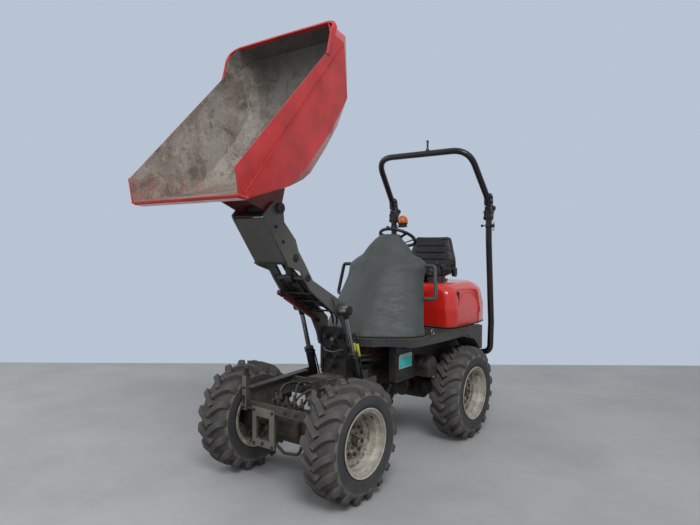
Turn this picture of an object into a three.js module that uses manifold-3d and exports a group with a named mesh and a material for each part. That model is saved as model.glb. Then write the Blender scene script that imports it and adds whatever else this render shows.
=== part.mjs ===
// Articulated site dumper with a front-tip skip on a raised lift arm. Millimetres, +Z up,
// the front faces -Y and +X is the driver's left. Inside the exported group y = 0 is the
// rear axle; the group is shifted so that the origin is the middle of the footprint.
// Lengths below are for a machine on 668 mm tyres; SIZE brings it to its real 755 mm ones.
import * as THREE from 'three';
import { ConvexGeometry } from 'three/addons/geometries/ConvexGeometry.js';
import { mergeVertices } from 'three/addons/utils/BufferGeometryUtils.js';
import Module from 'manifold-3d';

const wasm = await Module();
wasm.setup();

// ---------------------------------------------------------------- driving dimensions
const SIZE = 1.13;
const SEAT_GAP = 0.3; // left between pieces that rest on each other
const MOVE_GAP = 0.8; // left between a moving piece and what it rests or turns on
const PIN_CLEARANCE = 0.6; // radial, between a pin and its eye
const CENTRE_Y = -786.11; // middle of the footprint, from the rear axle

const WHEELBASE = 1360;
const TRACK = 824;
const TYRE_RADIUS = 334;
const TYRE_WIDTH = 222;
const TYRE_SIDES = 36;
const RIM_FLANGE_RADIUS = 190;
const RIM_SEAT_RADIUS = 172;
const RIM_WIDTH = 214;
const RIM_SHEET = 8;
const RIM_DISC_OFFSET = 7; // the disc's outer face, outboard of the wheel's middle plane
const HUB_RADIUS = 62;
const AXLE_TUBE_RADIUS = 42;
const AXLE_FLANGE_RADIUS = 75;

const PIVOT_Y = -640; // articulation joint
const YOKE_BOTTOM = 400;
const YOKE_TOP = 600;
const YOKE_PLATE = 20;
const YOKE_RADIUS = 60;
const LUG_RADIUS = 50;
const KINGPIN_RADIUS = 18;
const SPINE_HALF_WIDTH = 90;
const SPINE_FRONT_Y = -WHEELBASE + 210;

const RAIL_X = 250; // middle of the front frame's side rails
const RAIL_PLATE = 12;
const RAIL_FRONT_Y = -WHEELBASE - 152;
const RAIL_REAR_Y = -890;
const RAIL_FRONT_TOP = 560;
const RAIL_REAR_TOP = 580;
const RAIL_BOTTOM = 450;
const RAIL_FLANGE = 36;
const CROSS_MEMBER_TOP = 475;
const BUFFER_POST_X = 277;
const BUFFER_POST = 32;
const BUFFER_POST_Y = -WHEELBASE - 135;
const BUFFER_TOP = 665;
const BUFFER_HEIGHT = 45;

const TOWER_HALF_WIDTH = 100;
const TOWER_DEPTH = 62;
const TOWER_TOP = 875;
const ARM_PIVOT = [-967, 800]; // y, z
const ARM_PIVOT_PIN_RADIUS = 18;
const ARM_PLATE_X = 120; // middle of each side plate
const ARM_PLATE = 14;
const SKIP_HINGE = [-1635, 1600]; // y, z with the arm raised
const SKIP_HINGE_TUBE_RADIUS = 25;
const TIP_ANGLE = 49.4; // degrees past level, with the skip tipped right out

const LIFT_CYLINDER_X = 180;
const LIFT_FOOT = [-940, 400];
const LIFT_EYE = [-1120, 1010];
const LIFT_BARREL_RADIUS = 30;
const LIFT_ROD_RADIUS = 15;
const LIFT_BARREL_LENGTH = 352;
const FOOT_PIN_RADIUS = 14;

const TIP_FOOT = [-1400, 1215];
const TIP_EYE_LOCAL = [130, 30]; // from the hinge, in the level skip
const TIP_BARREL_RADIUS = 30;
const TIP_ROD_RADIUS = 15;
const TIP_BARREL_LENGTH = 325;

const SKIP_HALF_WIDTH = 405;
const SKIP_SHEET = 5;
const SKIP_RIM_FRONT = [-252, 510]; // y, z of the rim's front corner from the hinge, level
const SKIP_LENGTH = 1095;
const SKIP_DEPTH = 413;

const SIDE_PLATE_X = 264; // middle of the rear frame's side plates
const SIDE_PLATE = 12;
const REAR_FRONT_Y = -745;
const REAR_BACK_Y = 520;
const REAR_BOTTOM = 500;
const DECK_BOTTOM = 750;
const DECK_TOP = 800;
const DECK_SHEET = 8;

const ROPS_TUBE_RADIUS = 24;
const ROPS_BEND_RADIUS = 150;
const ROPS_X = 440;
const ROPS_PIVOT = [425, 1700];
const ROPS_OFFSET = 50; // the hoop's pivot lies this far behind its tube
const ROPS_TOP_X = 409;
const ROPS_TOP_Y = 77;
const ROPS_TOP_Z = 2118;

const STEERING_EYE_X = -150; // steering cylinder's eye, on the right of the pivot
const STEERING_EYE_Y = -680;
const STEERING_FOOT_Y = -215;
const STEERING_Z = 470;
const STEERING_HUB = [-250, 1462];
const STEERING_TILT = 27;
const STEERING_RADIUS = 145;
const HANDRAIL_RADIUS = 13;
const COWL_WALL = 10;
const HOOD_WALL = 9;
const HOOD_FRONT_Y = -150;
const ENGINE_HALF_WIDTH = 190;
const ENGINE_FRONT_Y = -85;
const ENGINE_REAR_Y = 290;

// ---------------------------------------------------------------- solids
function solid(geometry) {
  const bare = geometry.clone();
  bare.deleteAttribute('normal');
  bare.deleteAttribute('uv');
  const merged = mergeVertices(bare, 1e-4);
  const at = merged.attributes.position;
  const corners = merged.index.array;
  const triangles = [];
  let volume = 0;
  const [a, b, c] = [new THREE.Vector3(), new THREE.Vector3(), new THREE.Vector3()];
  for (let i = 0; i < corners.length; i += 3) {
    const [p, q, r] = [corners[i], corners[i + 1], corners[i + 2]];
    if (p === q || q === r || r === p) continue;
    triangles.push(p, q, r);
    volume += a.fromBufferAttribute(at, p).dot(b.fromBufferAttribute(at, q).cross(c.fromBufferAttribute(at, r)));
  }
  if (volume < 0) triangles.reverse();
  return new wasm.Manifold(new wasm.Mesh({
    numProp: 3,
    vertProperties: Float32Array.from(at.array),
    triVerts: Uint32Array.from(triangles),
  }));
}

function join(...pieces) {
  return pieces.reduce((whole, piece) => whole.add(piece));
}

function cut(whole, ...tools) {
  return tools.reduce((rest, tool) => rest.subtract(tool), whole);
}

function box(x0, x1, y0, y1, z0, z1) {
  const geometry = new THREE.BoxGeometry(x1 - x0, y1 - y0, z1 - z0);
  geometry.translate((x0 + x1) / 2, (y0 + y1) / 2, (z0 + z1) / 2);
  return solid(geometry);
}

function rod(from, to, radius, sides = 20, endRadius = radius) {
  const start = new THREE.Vector3(...from);
  const along = new THREE.Vector3(...to).sub(start);
  const geometry = new THREE.CylinderGeometry(endRadius, radius, along.length(), sides);
  geometry.translate(0, along.length() / 2, 0);
  const turn = new THREE.Quaternion().setFromUnitVectors(new THREE.Vector3(0, 1, 0), along.clone().normalize());
  geometry.applyQuaternion(turn);
  geometry.translate(...from);
  return solid(geometry);
}

// A cylinder across the machine at [y, z].
function crossRod([y, z], x0, x1, radius, sides = 20) {
  return rod([x0, y, z], [x1, y, z], radius, sides);
}

// An outline of [y, z] points made into a plate from x0 to x1.
function sidePlate(outline, x0, x1) {
  const shape = new THREE.Shape(outline.map(([y, z]) => new THREE.Vector2(y, z)));
  const geometry = new THREE.ExtrudeGeometry(shape, { depth: x1 - x0, bevelEnabled: false });
  const turn = new THREE.Matrix4().makeBasis(
    new THREE.Vector3(0, 1, 0), new THREE.Vector3(0, 0, 1), new THREE.Vector3(1, 0, 0));
  geometry.applyMatrix4(turn);
  geometry.translate(x0, 0, 0);
  return solid(geometry);
}

// An outline of [x, y] points made into a slab from z0 to z1.
function slab(outline, z0, z1) {
  const shape = new THREE.Shape(outline.map(([x, y]) => new THREE.Vector2(x, y)));
  const geometry = new THREE.ExtrudeGeometry(shape, { depth: z1 - z0, bevelEnabled: false });
  geometry.translate(0, 0, z0);
  return solid(geometry);
}

function hull(points) {
  return solid(new ConvexGeometry(points.map((point) => new THREE.Vector3(...point))));
}

// Both sides of the machine from the points of the left side.
function bothSides(points) {
  return [...points, ...points.map(([x, y, z]) => [-x, y, z])];
}

// Straight runs joined by round bends, with a stop at each end and around each bend.
class BentPath extends THREE.Curve {
  constructor(corners, bendRadius, bendSteps = 8) {
    super();
    const at = corners.map((corner) => new THREE.Vector3(...corner));
    this.stops = [at[0]];
    for (let i = 1; i < at.length - 1; i += 1) {
      const back = at[i - 1].clone().sub(at[i]).normalize();
      const ahead = at[i + 1].clone().sub(at[i]).normalize();
      const setback = bendRadius / Math.tan(back.angleTo(ahead) / 2);
      const start = at[i].clone().addScaledVector(back, setback);
      const end = at[i].clone().addScaledVector(ahead, setback);
      const bend = new THREE.QuadraticBezierCurve3(start, at[i], end);
      this.stops.push(...bend.getPoints(bendSteps));
    }
    this.stops.push(at[at.length - 1]);
    this.steps = this.stops.length - 1;
  }

  getPoint(t, target = new THREE.Vector3()) {
    const place = Math.min(t * this.steps, this.steps - 1e-9);
    const index = Math.floor(place);
    return target.lerpVectors(this.stops[index], this.stops[index + 1], place - index);
  }

  getPointAt(u, target) {
    return this.getPoint(u, target);
  }

  getTangentAt(u, target = new THREE.Vector3()) {
    const index = Math.round(u * this.steps);
    const before = this.stops[Math.max(index - 1, 0)];
    const after = this.stops[Math.min(index + 1, this.steps)];
    return target.subVectors(after, before).normalize();
  }
}

function tube(corners, radius, bendRadius, sides = 12) {
  const path = new BentPath(corners, bendRadius);
  const ring = new THREE.Shape().absarc(0, 0, radius, 0, 2 * Math.PI);
  const options = { steps: path.steps, extrudePath: path, bevelEnabled: false, curveSegments: sides };
  return solid(new THREE.ExtrudeGeometry(ring, options));
}

// A ring or disc turned about the X axis from [radius, x] points.
function turned(profile, sides = TYRE_SIDES) {
  const points = profile.map(([radius, x]) => new THREE.Vector2(radius, x));
  const geometry = new THREE.LatheGeometry(points, sides, Math.PI / sides);
  geometry.rotateZ(-Math.PI / 2);
  return solid(geometry);
}

function mirrored(piece) {
  return piece.mirror([1, 0, 0]);
}

// ---------------------------------------------------------------- materials
function finish(color, roughness, metalness = 0) {
  return new THREE.MeshStandardMaterial({ color, roughness, metalness });
}

const redPaint = finish(0xc2221c, 0.4);
const armPaint = finish(0x4c4b44, 0.6);
const framePaint = finish(0x3d3c38, 0.65);
const blackPaint = finish(0x17181a, 0.5);
const greyPaint = finish(0x4f5150, 0.6);
const cowlPlastic = finish(0x3f4644, 0.55);
const rimPaint = finish(0xc9c0ae, 0.6);
const tyreRubber = finish(0x35332f, 0.9);
const blackRubber = finish(0x1b1b1b, 0.9);
const seatVinyl = finish(0x1a1b1d, 0.7);
const castIron = finish(0x45403a, 0.8, 0.3);
const chrome = finish(0xb9b9b5, 0.2, 0.9);
const amberLens = finish(0xe06a12, 0.25);

const machine = new THREE.Group();
machine.position.y = -CENTRE_Y * SIZE;
machine.scale.setScalar(SIZE);

function add(name, piece, material, parent = machine) {
  const from = piece.getMesh();
  const geometry = new THREE.BufferGeometry();
  geometry.setAttribute('position', new THREE.BufferAttribute(Float32Array.from(from.vertProperties), 3));
  geometry.setIndex([...from.triVerts]);
  geometry.computeVertexNormals();
  const mesh = new THREE.Mesh(geometry, material);
  mesh.name = name;
  parent.add(mesh);
  return mesh;
}

// ---------------------------------------------------------------- wheels and axles
const AXLE_Z = TYRE_RADIUS * Math.cos(Math.PI / TYRE_SIDES);
const HUB_FACE = RIM_DISC_OFFSET - RIM_SHEET; // the disc's inner face, from the middle plane

function tyre() {
  const bead = RIM_SEAT_RADIUS + SEAT_GAP;
  const seat = RIM_WIDTH / 2 - RIM_SHEET - SEAT_GAP;
  const flange = RIM_FLANGE_RADIUS + SEAT_GAP;
  const half = TYRE_WIDTH / 2;
  return turned([
    [bead, seat], [flange, seat], [flange + 55, half], [TYRE_RADIUS - 32, half - 4], [TYRE_RADIUS, half - 24],
    [TYRE_RADIUS, 24 - half], [TYRE_RADIUS - 32, 4 - half], [flange + 55, -half], [flange, -seat], [bead, -seat],
    [bead, seat],
  ]);
}

function rim() {
  const half = RIM_WIDTH / 2;
  const inner = RIM_SEAT_RADIUS - RIM_SHEET;
  const outerFace = RIM_DISC_OFFSET;
  return turned([
    [0, HUB_FACE], [inner, HUB_FACE], [inner, -half], [RIM_FLANGE_RADIUS, -half],
    [RIM_FLANGE_RADIUS, RIM_SHEET - half], [RIM_SEAT_RADIUS, RIM_SHEET - half],
    [RIM_SEAT_RADIUS, half - RIM_SHEET], [RIM_FLANGE_RADIUS, half - RIM_SHEET], [RIM_FLANGE_RADIUS, half],
    [inner, half], [inner, outerFace], [HUB_RADIUS + 14, outerFace], [HUB_RADIUS, outerFace + 16],
    [0, outerFace + 16],
  ]);
}

function addWheel(place, side, y) {
  for (const [kind, piece, material] of [['tyre', tyre(), tyreRubber], ['rim', rim(), rimPaint]]) {
    const mesh = add(`${kind}_${place}`, piece, material);
    mesh.position.set((side * TRACK) / 2, y, AXLE_Z);
    mesh.rotation.z = side > 0 ? 0 : Math.PI;
  }
}

function axle(y, motorY) {
  const end = TRACK / 2 + HUB_FACE - MOVE_GAP;
  const centre = [y, AXLE_Z];
  return join(
    crossRod(centre, -end, end, AXLE_TUBE_RADIUS, 16),
    crossRod(centre, -end, 18 - end, AXLE_FLANGE_RADIUS, 24),
    crossRod(centre, end - 18, end, AXLE_FLANGE_RADIUS, 24),
    crossRod(centre, -170, 170, 64, 16),
    crossRod(centre, -85, 85, 98, 16),
    rod([0, y, AXLE_Z], [0, motorY, AXLE_Z], 60, 16),
  );
}

addWheel('front_left', 1, -WHEELBASE);
addWheel('front_right', -1, -WHEELBASE);
addWheel('rear_left', 1, 0);
addWheel('rear_right', -1, 0);
add('front_axle', axle(-WHEELBASE, -WHEELBASE + 170), castIron);
add('rear_axle', axle(0, -190), castIron);

// ---------------------------------------------------------------- front frame
function frontRail() {
  const x0 = RAIL_X - RAIL_PLATE / 2;
  const x1 = RAIL_X + RAIL_PLATE / 2;
  const axleTop = AXLE_Z + AXLE_TUBE_RADIUS + SEAT_GAP;
  const web = sidePlate([
    [RAIL_FRONT_Y, RAIL_BOTTOM], [-WHEELBASE - 80, RAIL_BOTTOM], [-WHEELBASE - 60, axleTop],
    [-WHEELBASE + 60, axleTop], [-WHEELBASE + 80, RAIL_BOTTOM], [-1000, RAIL_BOTTOM],
    [-985, LIFT_FOOT[1] - 34], [RAIL_REAR_Y, LIFT_FOOT[1] - 34], [RAIL_REAR_Y, RAIL_REAR_TOP],
    [-950, RAIL_REAR_TOP], [RAIL_FRONT_Y, RAIL_FRONT_TOP],
  ], x0, x1);
  const flange = sidePlate([
    [RAIL_FRONT_Y, RAIL_FRONT_TOP - 8], [-1010, RAIL_REAR_TOP - 10.5], [-1010, RAIL_REAR_TOP - 2.5],
    [RAIL_FRONT_Y, RAIL_FRONT_TOP],
  ], x0 - RAIL_FLANGE, x0 + 1);
  return join(web, flange);
}

function bufferPost() {
  const half = BUFFER_POST / 2;
  const top = BUFFER_TOP - BUFFER_HEIGHT;
  return join(
    box(BUFFER_POST_X - half, BUFFER_POST_X + half, BUFFER_POST_Y - 17, BUFFER_POST_Y + 17, 410, top),
    box(RAIL_X, BUFFER_POST_X, BUFFER_POST_Y - 17, BUFFER_POST_Y + 17, 455, 555),
  );
}

function frontChassis() {
  const pinEnd = RAIL_X + RAIL_PLATE / 2;
  const liftPin = crossRod(LIFT_FOOT, SPINE_HALF_WIDTH - 5, pinEnd, FOOT_PIN_RADIUS);
  const left = join(frontRail(), bufferPost(), liftPin);
  const frontPlate = box(-RAIL_X, RAIL_X, RAIL_FRONT_Y, RAIL_FRONT_Y + RAIL_PLATE, 425, CROSS_MEMBER_TOP);
  const crossPlate = box(-RAIL_X, RAIL_X, SPINE_FRONT_Y, SPINE_FRONT_Y + 20, RAIL_BOTTOM + 5, 560);
  const spine = box(-SPINE_HALF_WIDTH, SPINE_HALF_WIDTH, SPINE_FRONT_Y, -745, 385, 575);
  const windowPlate = cut(
    box(-208, -24, RAIL_FRONT_Y, RAIL_FRONT_Y + RAIL_PLATE, 215, 450),
    box(-172, -68, RAIL_FRONT_Y - 5, RAIL_FRONT_Y + RAIL_PLATE + 5, 262, 392),
  );
  const yokeOutline = [[-YOKE_RADIUS, -800], [-YOKE_RADIUS, PIVOT_Y], [YOKE_RADIUS, PIVOT_Y], [YOKE_RADIUS, -800]];
  const yoke = [YOKE_BOTTOM, YOKE_TOP - YOKE_PLATE].map((z) => join(
    slab(yokeOutline, z, z + YOKE_PLATE),
    rod([0, PIVOT_Y, z], [0, PIVOT_Y, z + YOKE_PLATE], YOKE_RADIUS, 24),
  ));
  const neckTop = box(-YOKE_RADIUS, YOKE_RADIUS, -800, -745, 560, YOKE_TOP);
  const steeringLug = box(STEERING_EYE_X - 25, -SPINE_HALF_WIDTH + 5, -800, PIVOT_Y - 10, STEERING_Z - 30,
    STEERING_Z - 18);
  const kingpin = rod([0, PIVOT_Y, YOKE_BOTTOM - 8], [0, PIVOT_Y, YOKE_TOP + 14], KINGPIN_RADIUS);
  return join(left, mirrored(left), frontPlate, crossPlate, spine, windowPlate, ...yoke, neckTop, steeringLug,
    kingpin);
}

add('front_chassis', frontChassis(), framePaint);

const towerFront = ARM_PIVOT[0] - TOWER_DEPTH / 2;
const towerBack = ARM_PIVOT[0] + TOWER_DEPTH / 2;
add('tower', join(
  box(-TOWER_HALF_WIDTH, TOWER_HALF_WIDTH, towerFront, towerBack, 575 + SEAT_GAP, TOWER_TOP),
  crossRod(ARM_PIVOT, -ARM_PLATE_X - 14, ARM_PLATE_X + 14, ARM_PIVOT_PIN_RADIUS),
), blackPaint);

for (const [place, side] of [['left', 1], ['right', -1]]) {
  const x = side * BUFFER_POST_X;
  const foot = BUFFER_TOP - BUFFER_HEIGHT + SEAT_GAP;
  const pad = rod([x, BUFFER_POST_Y, foot], [x, BUFFER_POST_Y, BUFFER_TOP], 15, 16, 12);
  add(`buffer_${place}`, pad, blackRubber);
}

// ---------------------------------------------------------------- lift arm
const armUpper = [ // upper and rear edge of a side plate, [y, z] from the hinge to the pivot
  [-1700, 1612], [-1665, 1636], [-1622, 1634], [-1600, 1600], [-1592, 1527], [-1500, 1431], [-1477, 1369],
  [-1421, 1294], [-1354, 1198], [-1116, 1075], [-990, 985], [-925, 930], [-914, 800],
];
const armLower = [
  [-930, 758], [-967, 747], [-1005, 762], [-1030, 840], [-1087, 945], [-1372, 1139], [-1417, 1197],
  [-1455, 1253], [-1557, 1286], [-1573, 1312], [-1734, 1540], [-1745, 1562],
];

function liftArm() {
  const x0 = ARM_PLATE_X - ARM_PLATE / 2;
  const x1 = ARM_PLATE_X + ARM_PLATE / 2;
  const plate = cut(
    sidePlate([...armUpper, ...armLower], x0, x1),
    crossRod(ARM_PIVOT, x0 - 5, x1 + 5, ARM_PIVOT_PIN_RADIUS + PIN_CLEARANCE),
  );
  const boss = crossRod(LIFT_EYE, x1 - 2, LIFT_CYLINDER_X - 26, 30);
  const bossRib = sidePlate([[-1150, 1000], [-1085, 1000], [-1060, 1050], [-1180, 1085]], x1 - 2, x1 + 12);
  const side = join(plate, boss, bossRib);
  const skin = sidePlate([[-1734, 1543], [-1573, 1303], [-1562, 1309], [-1723, 1549]], -x0 - 1, x0 + 1);
  const kinkTube = crossRod([-1500, 1330], -x0 - 1, x0 + 1, 20, 16);
  const lowTube = crossRod([-1130, 1040], -x0 - 1, x0 + 1, 20, 16);
  const web = sidePlate([[-1352, 1165], [-1345, 1177], [-1128, 1058], [-1135, 1046]], -x0 - 1, x0 + 1);
  const footPin = crossRod(TIP_FOOT, -x0 - 1, x0 + 1, FOOT_PIN_RADIUS);
  const hingeTube = crossRod(SKIP_HINGE, -x1 - 12, x1 + 12, SKIP_HINGE_TUBE_RADIUS);
  return join(side, mirrored(side), skin, kinkTube, lowTube, web, footPin, hingeTube);
}

add('lift_arm', liftArm(), armPaint);

const PROP_X = -(ARM_PLATE_X - ARM_PLATE / 2 - 14); // the prop hangs inside the right plate
add('safety_prop', join(
  rod([PROP_X, -1391, 1118], [PROP_X, -1040, 921], 12, 12),
  crossRod([-1391, 1118], PROP_X - 13.6, PROP_X + 14, 15, 16),
  crossRod([-1050, 926.6], PROP_X - 13.6, PROP_X + 8, 9, 12),
), redPaint);

// ---------------------------------------------------------------- cylinders
function between([y, z], [toY, toZ], distance) {
  const length = Math.hypot(toY - y, toZ - z);
  return [y + ((toY - y) * distance) / length, z + ((toZ - z) * distance) / length];
}

function cylinderBarrel(x, foot, eye, radius, length, eyeHalfWidth) {
  const start = between(foot, eye, 20);
  const gland = between(foot, eye, length - 30);
  const end = between(foot, eye, length);
  const body = join(
    rod([x, ...start], [x, ...end], radius - 3, 20),
    rod([x, ...gland], [x, ...end], radius, 20),
    crossRod(foot, x - eyeHalfWidth, x + eyeHalfWidth, 30, 20),
  );
  const bore = rod([x, ...between(foot, eye, 60)], [x, ...between(foot, eye, length + 10)], radius - 10, 20);
  const pinHole = crossRod(foot, x - 60, x + 60, FOOT_PIN_RADIUS + PIN_CLEARANCE);
  return cut(body, bore, pinHole);
}

function cylinderRod(x, foot, eye, radius, barrelRadius, barrelLength, eyeHalfWidth, eyeRadius) {
  const inside = barrelRadius - 10 - PIN_CLEARANCE;
  return join(
    rod([x, ...between(foot, eye, barrelLength - 55)], [x, ...eye], radius, 16),
    rod([x, ...between(foot, eye, barrelLength - 55)], [x, ...between(foot, eye, barrelLength - 25)], inside, 20),
    crossRod(eye, x - eyeHalfWidth, x + eyeHalfWidth, eyeRadius, 20),
  );
}

for (const [place, side] of [['left', 1], ['right', -1]]) {
  const x = side * LIFT_CYLINDER_X;
  add(`lift_barrel_${place}`,
    cylinderBarrel(x, LIFT_FOOT, LIFT_EYE, LIFT_BARREL_RADIUS, LIFT_BARREL_LENGTH, 26), blackPaint);
  add(`lift_rod_${place}`,
    cylinderRod(x, LIFT_FOOT, LIFT_EYE, LIFT_ROD_RADIUS, LIFT_BARREL_RADIUS, LIFT_BARREL_LENGTH, 25, 26), chrome);
}

const tip = THREE.MathUtils.degToRad(TIP_ANGLE);
const TIP_EYE = [
  SKIP_HINGE[0] + TIP_EYE_LOCAL[0] * Math.cos(tip) - TIP_EYE_LOCAL[1] * Math.sin(tip),
  SKIP_HINGE[1] + TIP_EYE_LOCAL[0] * Math.sin(tip) + TIP_EYE_LOCAL[1] * Math.cos(tip),
];
add('tip_barrel', cylinderBarrel(0, TIP_FOOT, TIP_EYE, TIP_BARREL_RADIUS, TIP_BARREL_LENGTH, 26), blackPaint);
add('tip_rod', cylinderRod(0, TIP_FOOT, TIP_EYE, TIP_ROD_RADIUS, TIP_BARREL_RADIUS, TIP_BARREL_LENGTH, 27, 22),
  chrome);

// ---------------------------------------------------------------- skip
// Level skip, hinge at the origin. u runs back from the rim's front corner, depth down from it.
function skipPoint(x, u, depth) {
  return [x, SKIP_RIM_FRONT[0] + u, SKIP_RIM_FRONT[1] - depth];
}

function skipOuter() {
  const w = SKIP_HALF_WIDTH;
  const [l, d] = [SKIP_LENGTH, SKIP_DEPTH];
  return hull(bothSides([
    skipPoint(w, 0, 0), skipPoint(w, -80, 95), skipPoint(w - 5, -85, 102), skipPoint(w - 12, -58, 140),
    skipPoint(w, l - 40, 95), skipPoint(w, l - 95, -5), skipPoint(w - 60, l, -20), skipPoint(w - 30, l + 32, 100),
    skipPoint(w - 20, 195, 310), skipPoint(w - 20, 335, 335), skipPoint(w - 20, 647, 345),
    skipPoint(w - 20, 880, 318), skipPoint(w - 75, 225, 341), skipPoint(w - 75, 333, 395), skipPoint(w - 75, 400, d),
    skipPoint(w - 75, 583, d), skipPoint(w - 75, 755, 400), skipPoint(w - 75, 890, 368),
    skipPoint(w - 60, l - 35, 215), skipPoint(w - 60, l + 55, 110),
  ]));
}

function skipInner() {
  const t = SKIP_SHEET;
  const w = SKIP_HALF_WIDTH - t;
  const [l, d] = [SKIP_LENGTH - t, SKIP_DEPTH - t];
  return hull(bothSides([
    skipPoint(w, -190, -90), skipPoint(w, -190, 12), skipPoint(w, 0, 95),
    skipPoint(w, l - 40, 95), skipPoint(w, l - 143, -90), skipPoint(w - 60, l - 31, -90),
    skipPoint(w - 30, l + 26, 98),
    skipPoint(w - 20, 197, 300), skipPoint(w - 20, 335, 328), skipPoint(w - 20, 647, 339),
    skipPoint(w - 20, 876, 312), skipPoint(w - 75, 228, 331), skipPoint(w - 75, 335, 388), skipPoint(w - 75, 400, d),
    skipPoint(w - 75, 583, d), skipPoint(w - 75, 755, 394), skipPoint(w - 75, 886, 362),
    skipPoint(w - 60, l - 37, 211), skipPoint(w - 60, l + 52, 108),
  ]));
}

function skipShell() {
  const reach = SKIP_HALF_WIDTH + 50;
  const top = SKIP_RIM_FRONT[1];
  const start = SKIP_RIM_FRONT[0];
  const aboveRim = sidePlate([
    [start - 120, top + 150], [start - 120, top + 6], [start, top], [start + 900, top - 45],
    [start + 1005, top + 6], [start + SKIP_LENGTH - 12, top + 19.5], [start + SKIP_LENGTH + 60, top + 19.5],
    [start + SKIP_LENGTH + 60, top + 150],
  ], -reach, reach);
  return cut(skipOuter(), skipInner(), aboveRim);
}

function skipBrackets() {
  const plateX = ARM_PLATE_X - ARM_PLATE / 2 - 8;
  const high = 300;
  const side = join(
    sidePlate([[-46, -12], [-34, -38], [10, -44], [48, -20], [215, 60], [230, high], [-150, high]],
      plateX - 12, plateX),
    sidePlate([[TIP_EYE_LOCAL[0] - 38, TIP_EYE_LOCAL[1] - 6], [TIP_EYE_LOCAL[0] - 20, TIP_EYE_LOCAL[1] - 26],
      [TIP_EYE_LOCAL[0] + 18, TIP_EYE_LOCAL[1] - 26], [TIP_EYE_LOCAL[0] + 38, TIP_EYE_LOCAL[1] - 4],
      [TIP_EYE_LOCAL[0] + 60, 150], [TIP_EYE_LOCAL[0] - 60, 150]], 29, 41),
  );
  const base = sidePlate([[-140, 150], [0, 60], [60, 40], [230, 40], [230, high], [-140, high]], -plateX, plateX);
  const skip = skipOuter();
  const plates = cut(join(side, mirrored(side)), skip.translate([0, 0, -SEAT_GAP]));
  const pad = base.intersect(skip.translate([0, 0, -10])).subtract(skip.translate([0, 0, -SEAT_GAP]));
  const whole = join(plates, pad);
  return cut(whole, crossRod([0, 0], -300, 300, SKIP_HINGE_TUBE_RADIUS + PIN_CLEARANCE));
}

const skipGroup = new THREE.Group();
skipGroup.position.set(0, ...SKIP_HINGE);
skipGroup.rotation.x = tip;
machine.add(skipGroup);
add('skip', skipShell(), redPaint, skipGroup);
add('skip_brackets', skipBrackets(), redPaint, skipGroup);

// ---------------------------------------------------------------- rear frame
function rearChassis() {
  const x0 = SIDE_PLATE_X - SIDE_PLATE / 2;
  const x1 = SIDE_PLATE_X + SIDE_PLATE / 2;
  const axleTop = AXLE_Z + AXLE_TUBE_RADIUS + SEAT_GAP;
  const top = DECK_BOTTOM - SEAT_GAP;
  const side = sidePlate([
    [REAR_FRONT_Y, top], [REAR_FRONT_Y, 520], [-690, REAR_BOTTOM], [-90, REAR_BOTTOM], [-62, axleTop],
    [62, axleTop], [90, REAR_BOTTOM], [REAR_BACK_Y, REAR_BOTTOM], [REAR_BACK_Y, top],
  ], x0, x1);
  const frontWall = box(-SIDE_PLATE_X, SIDE_PLATE_X, -530, -515, 440, top);
  const belly = box(-SIDE_PLATE_X, SIDE_PLATE_X, -530, REAR_BACK_Y, REAR_BOTTOM, REAR_BOTTOM + 10);
  const rearWeight = box(-x1, x1, REAR_BACK_Y - 40, REAR_BACK_Y + 20, REAR_BOTTOM - 60, top);
  const lugBottom = YOKE_BOTTOM + YOKE_PLATE + MOVE_GAP;
  const lugTop = YOKE_TOP - YOKE_PLATE - MOVE_GAP;
  const neck = box(-40, 40, PIVOT_Y, -520, 450, 550);
  const lug = rod([0, PIVOT_Y, lugBottom], [0, PIVOT_Y, lugTop], LUG_RADIUS, 24);
  const bore = rod([0, PIVOT_Y, 300], [0, PIVOT_Y, 700], KINGPIN_RADIUS + PIN_CLEARANCE);
  const steeringPin = rod([STEERING_EYE_X, STEERING_FOOT_Y, STEERING_Z - 24],
    [STEERING_EYE_X, STEERING_FOOT_Y, REAR_BOTTOM + 5], 10);
  const steeringHole = rod([STEERING_EYE_X, -560, STEERING_Z], [STEERING_EYE_X, -500, STEERING_Z], 36);
  const whole = join(side, mirrored(side), cut(frontWall, steeringHole), belly, rearWeight, neck, lug, steeringPin);
  return cut(whole, bore);
}

add('rear_chassis', rearChassis(), blackPaint);

const deckLeft = [ // front edge and left side, [x, y]
  [0, -885], [120, -880], [200, -852], [250, -785], [330, -752], [400, -722], [430, -682], [436, -600], [455, -330],
  [460, 235], [395, 235],
];
const deckRight = [ // the right front corner is cut back, clear of the turning frame
  [-120, -880], [-200, -852], [-250, -785], [-330, -690], [-395, -615], [-432, -560], [-455, -330], [-460, 235],
  [-395, 235],
];

function deck() {
  const right = [...deckRight].reverse();
  const rear = [[300, 235], [300, 440], [230, 560], [-230, 560], [-300, 440], [-300, 235]];
  const outline = [...deckLeft, ...rear, ...right];
  const inside = outline.map(([x, y]) => [x - Math.sign(x) * DECK_SHEET, y + (y < -160 ? DECK_SHEET : -DECK_SHEET)]);
  const plate = cut(slab(outline, DECK_BOTTOM, DECK_TOP), slab(inside, DECK_BOTTOM - 5, DECK_TOP - DECK_SHEET));
  const drop = sidePlate([[-150, DECK_BOTTOM + 5], [0, DECK_BOTTOM - 2], [90, 720], [150, 675], [195, 625],
    [235, 620], [235, DECK_BOTTOM + 5]], 300, 460);
  const bearer = box(SIDE_PLATE_X - SIDE_PLATE / 2, SIDE_PLATE_X + SIDE_PLATE / 2, -700, 430, DECK_BOTTOM,
    DECK_TOP - 1);
  const engineBay = box(-ENGINE_HALF_WIDTH - 25, ENGINE_HALF_WIDTH + 25, ENGINE_FRONT_Y - 15, ENGINE_REAR_Y + 30,
    DECK_BOTTOM - 20, DECK_TOP + 20);
  return cut(join(plate, drop, mirrored(drop), cut(bearer, engineBay), mirrored(cut(bearer, engineBay))), engineBay);
}

add('deck', deck(), greyPaint);

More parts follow.
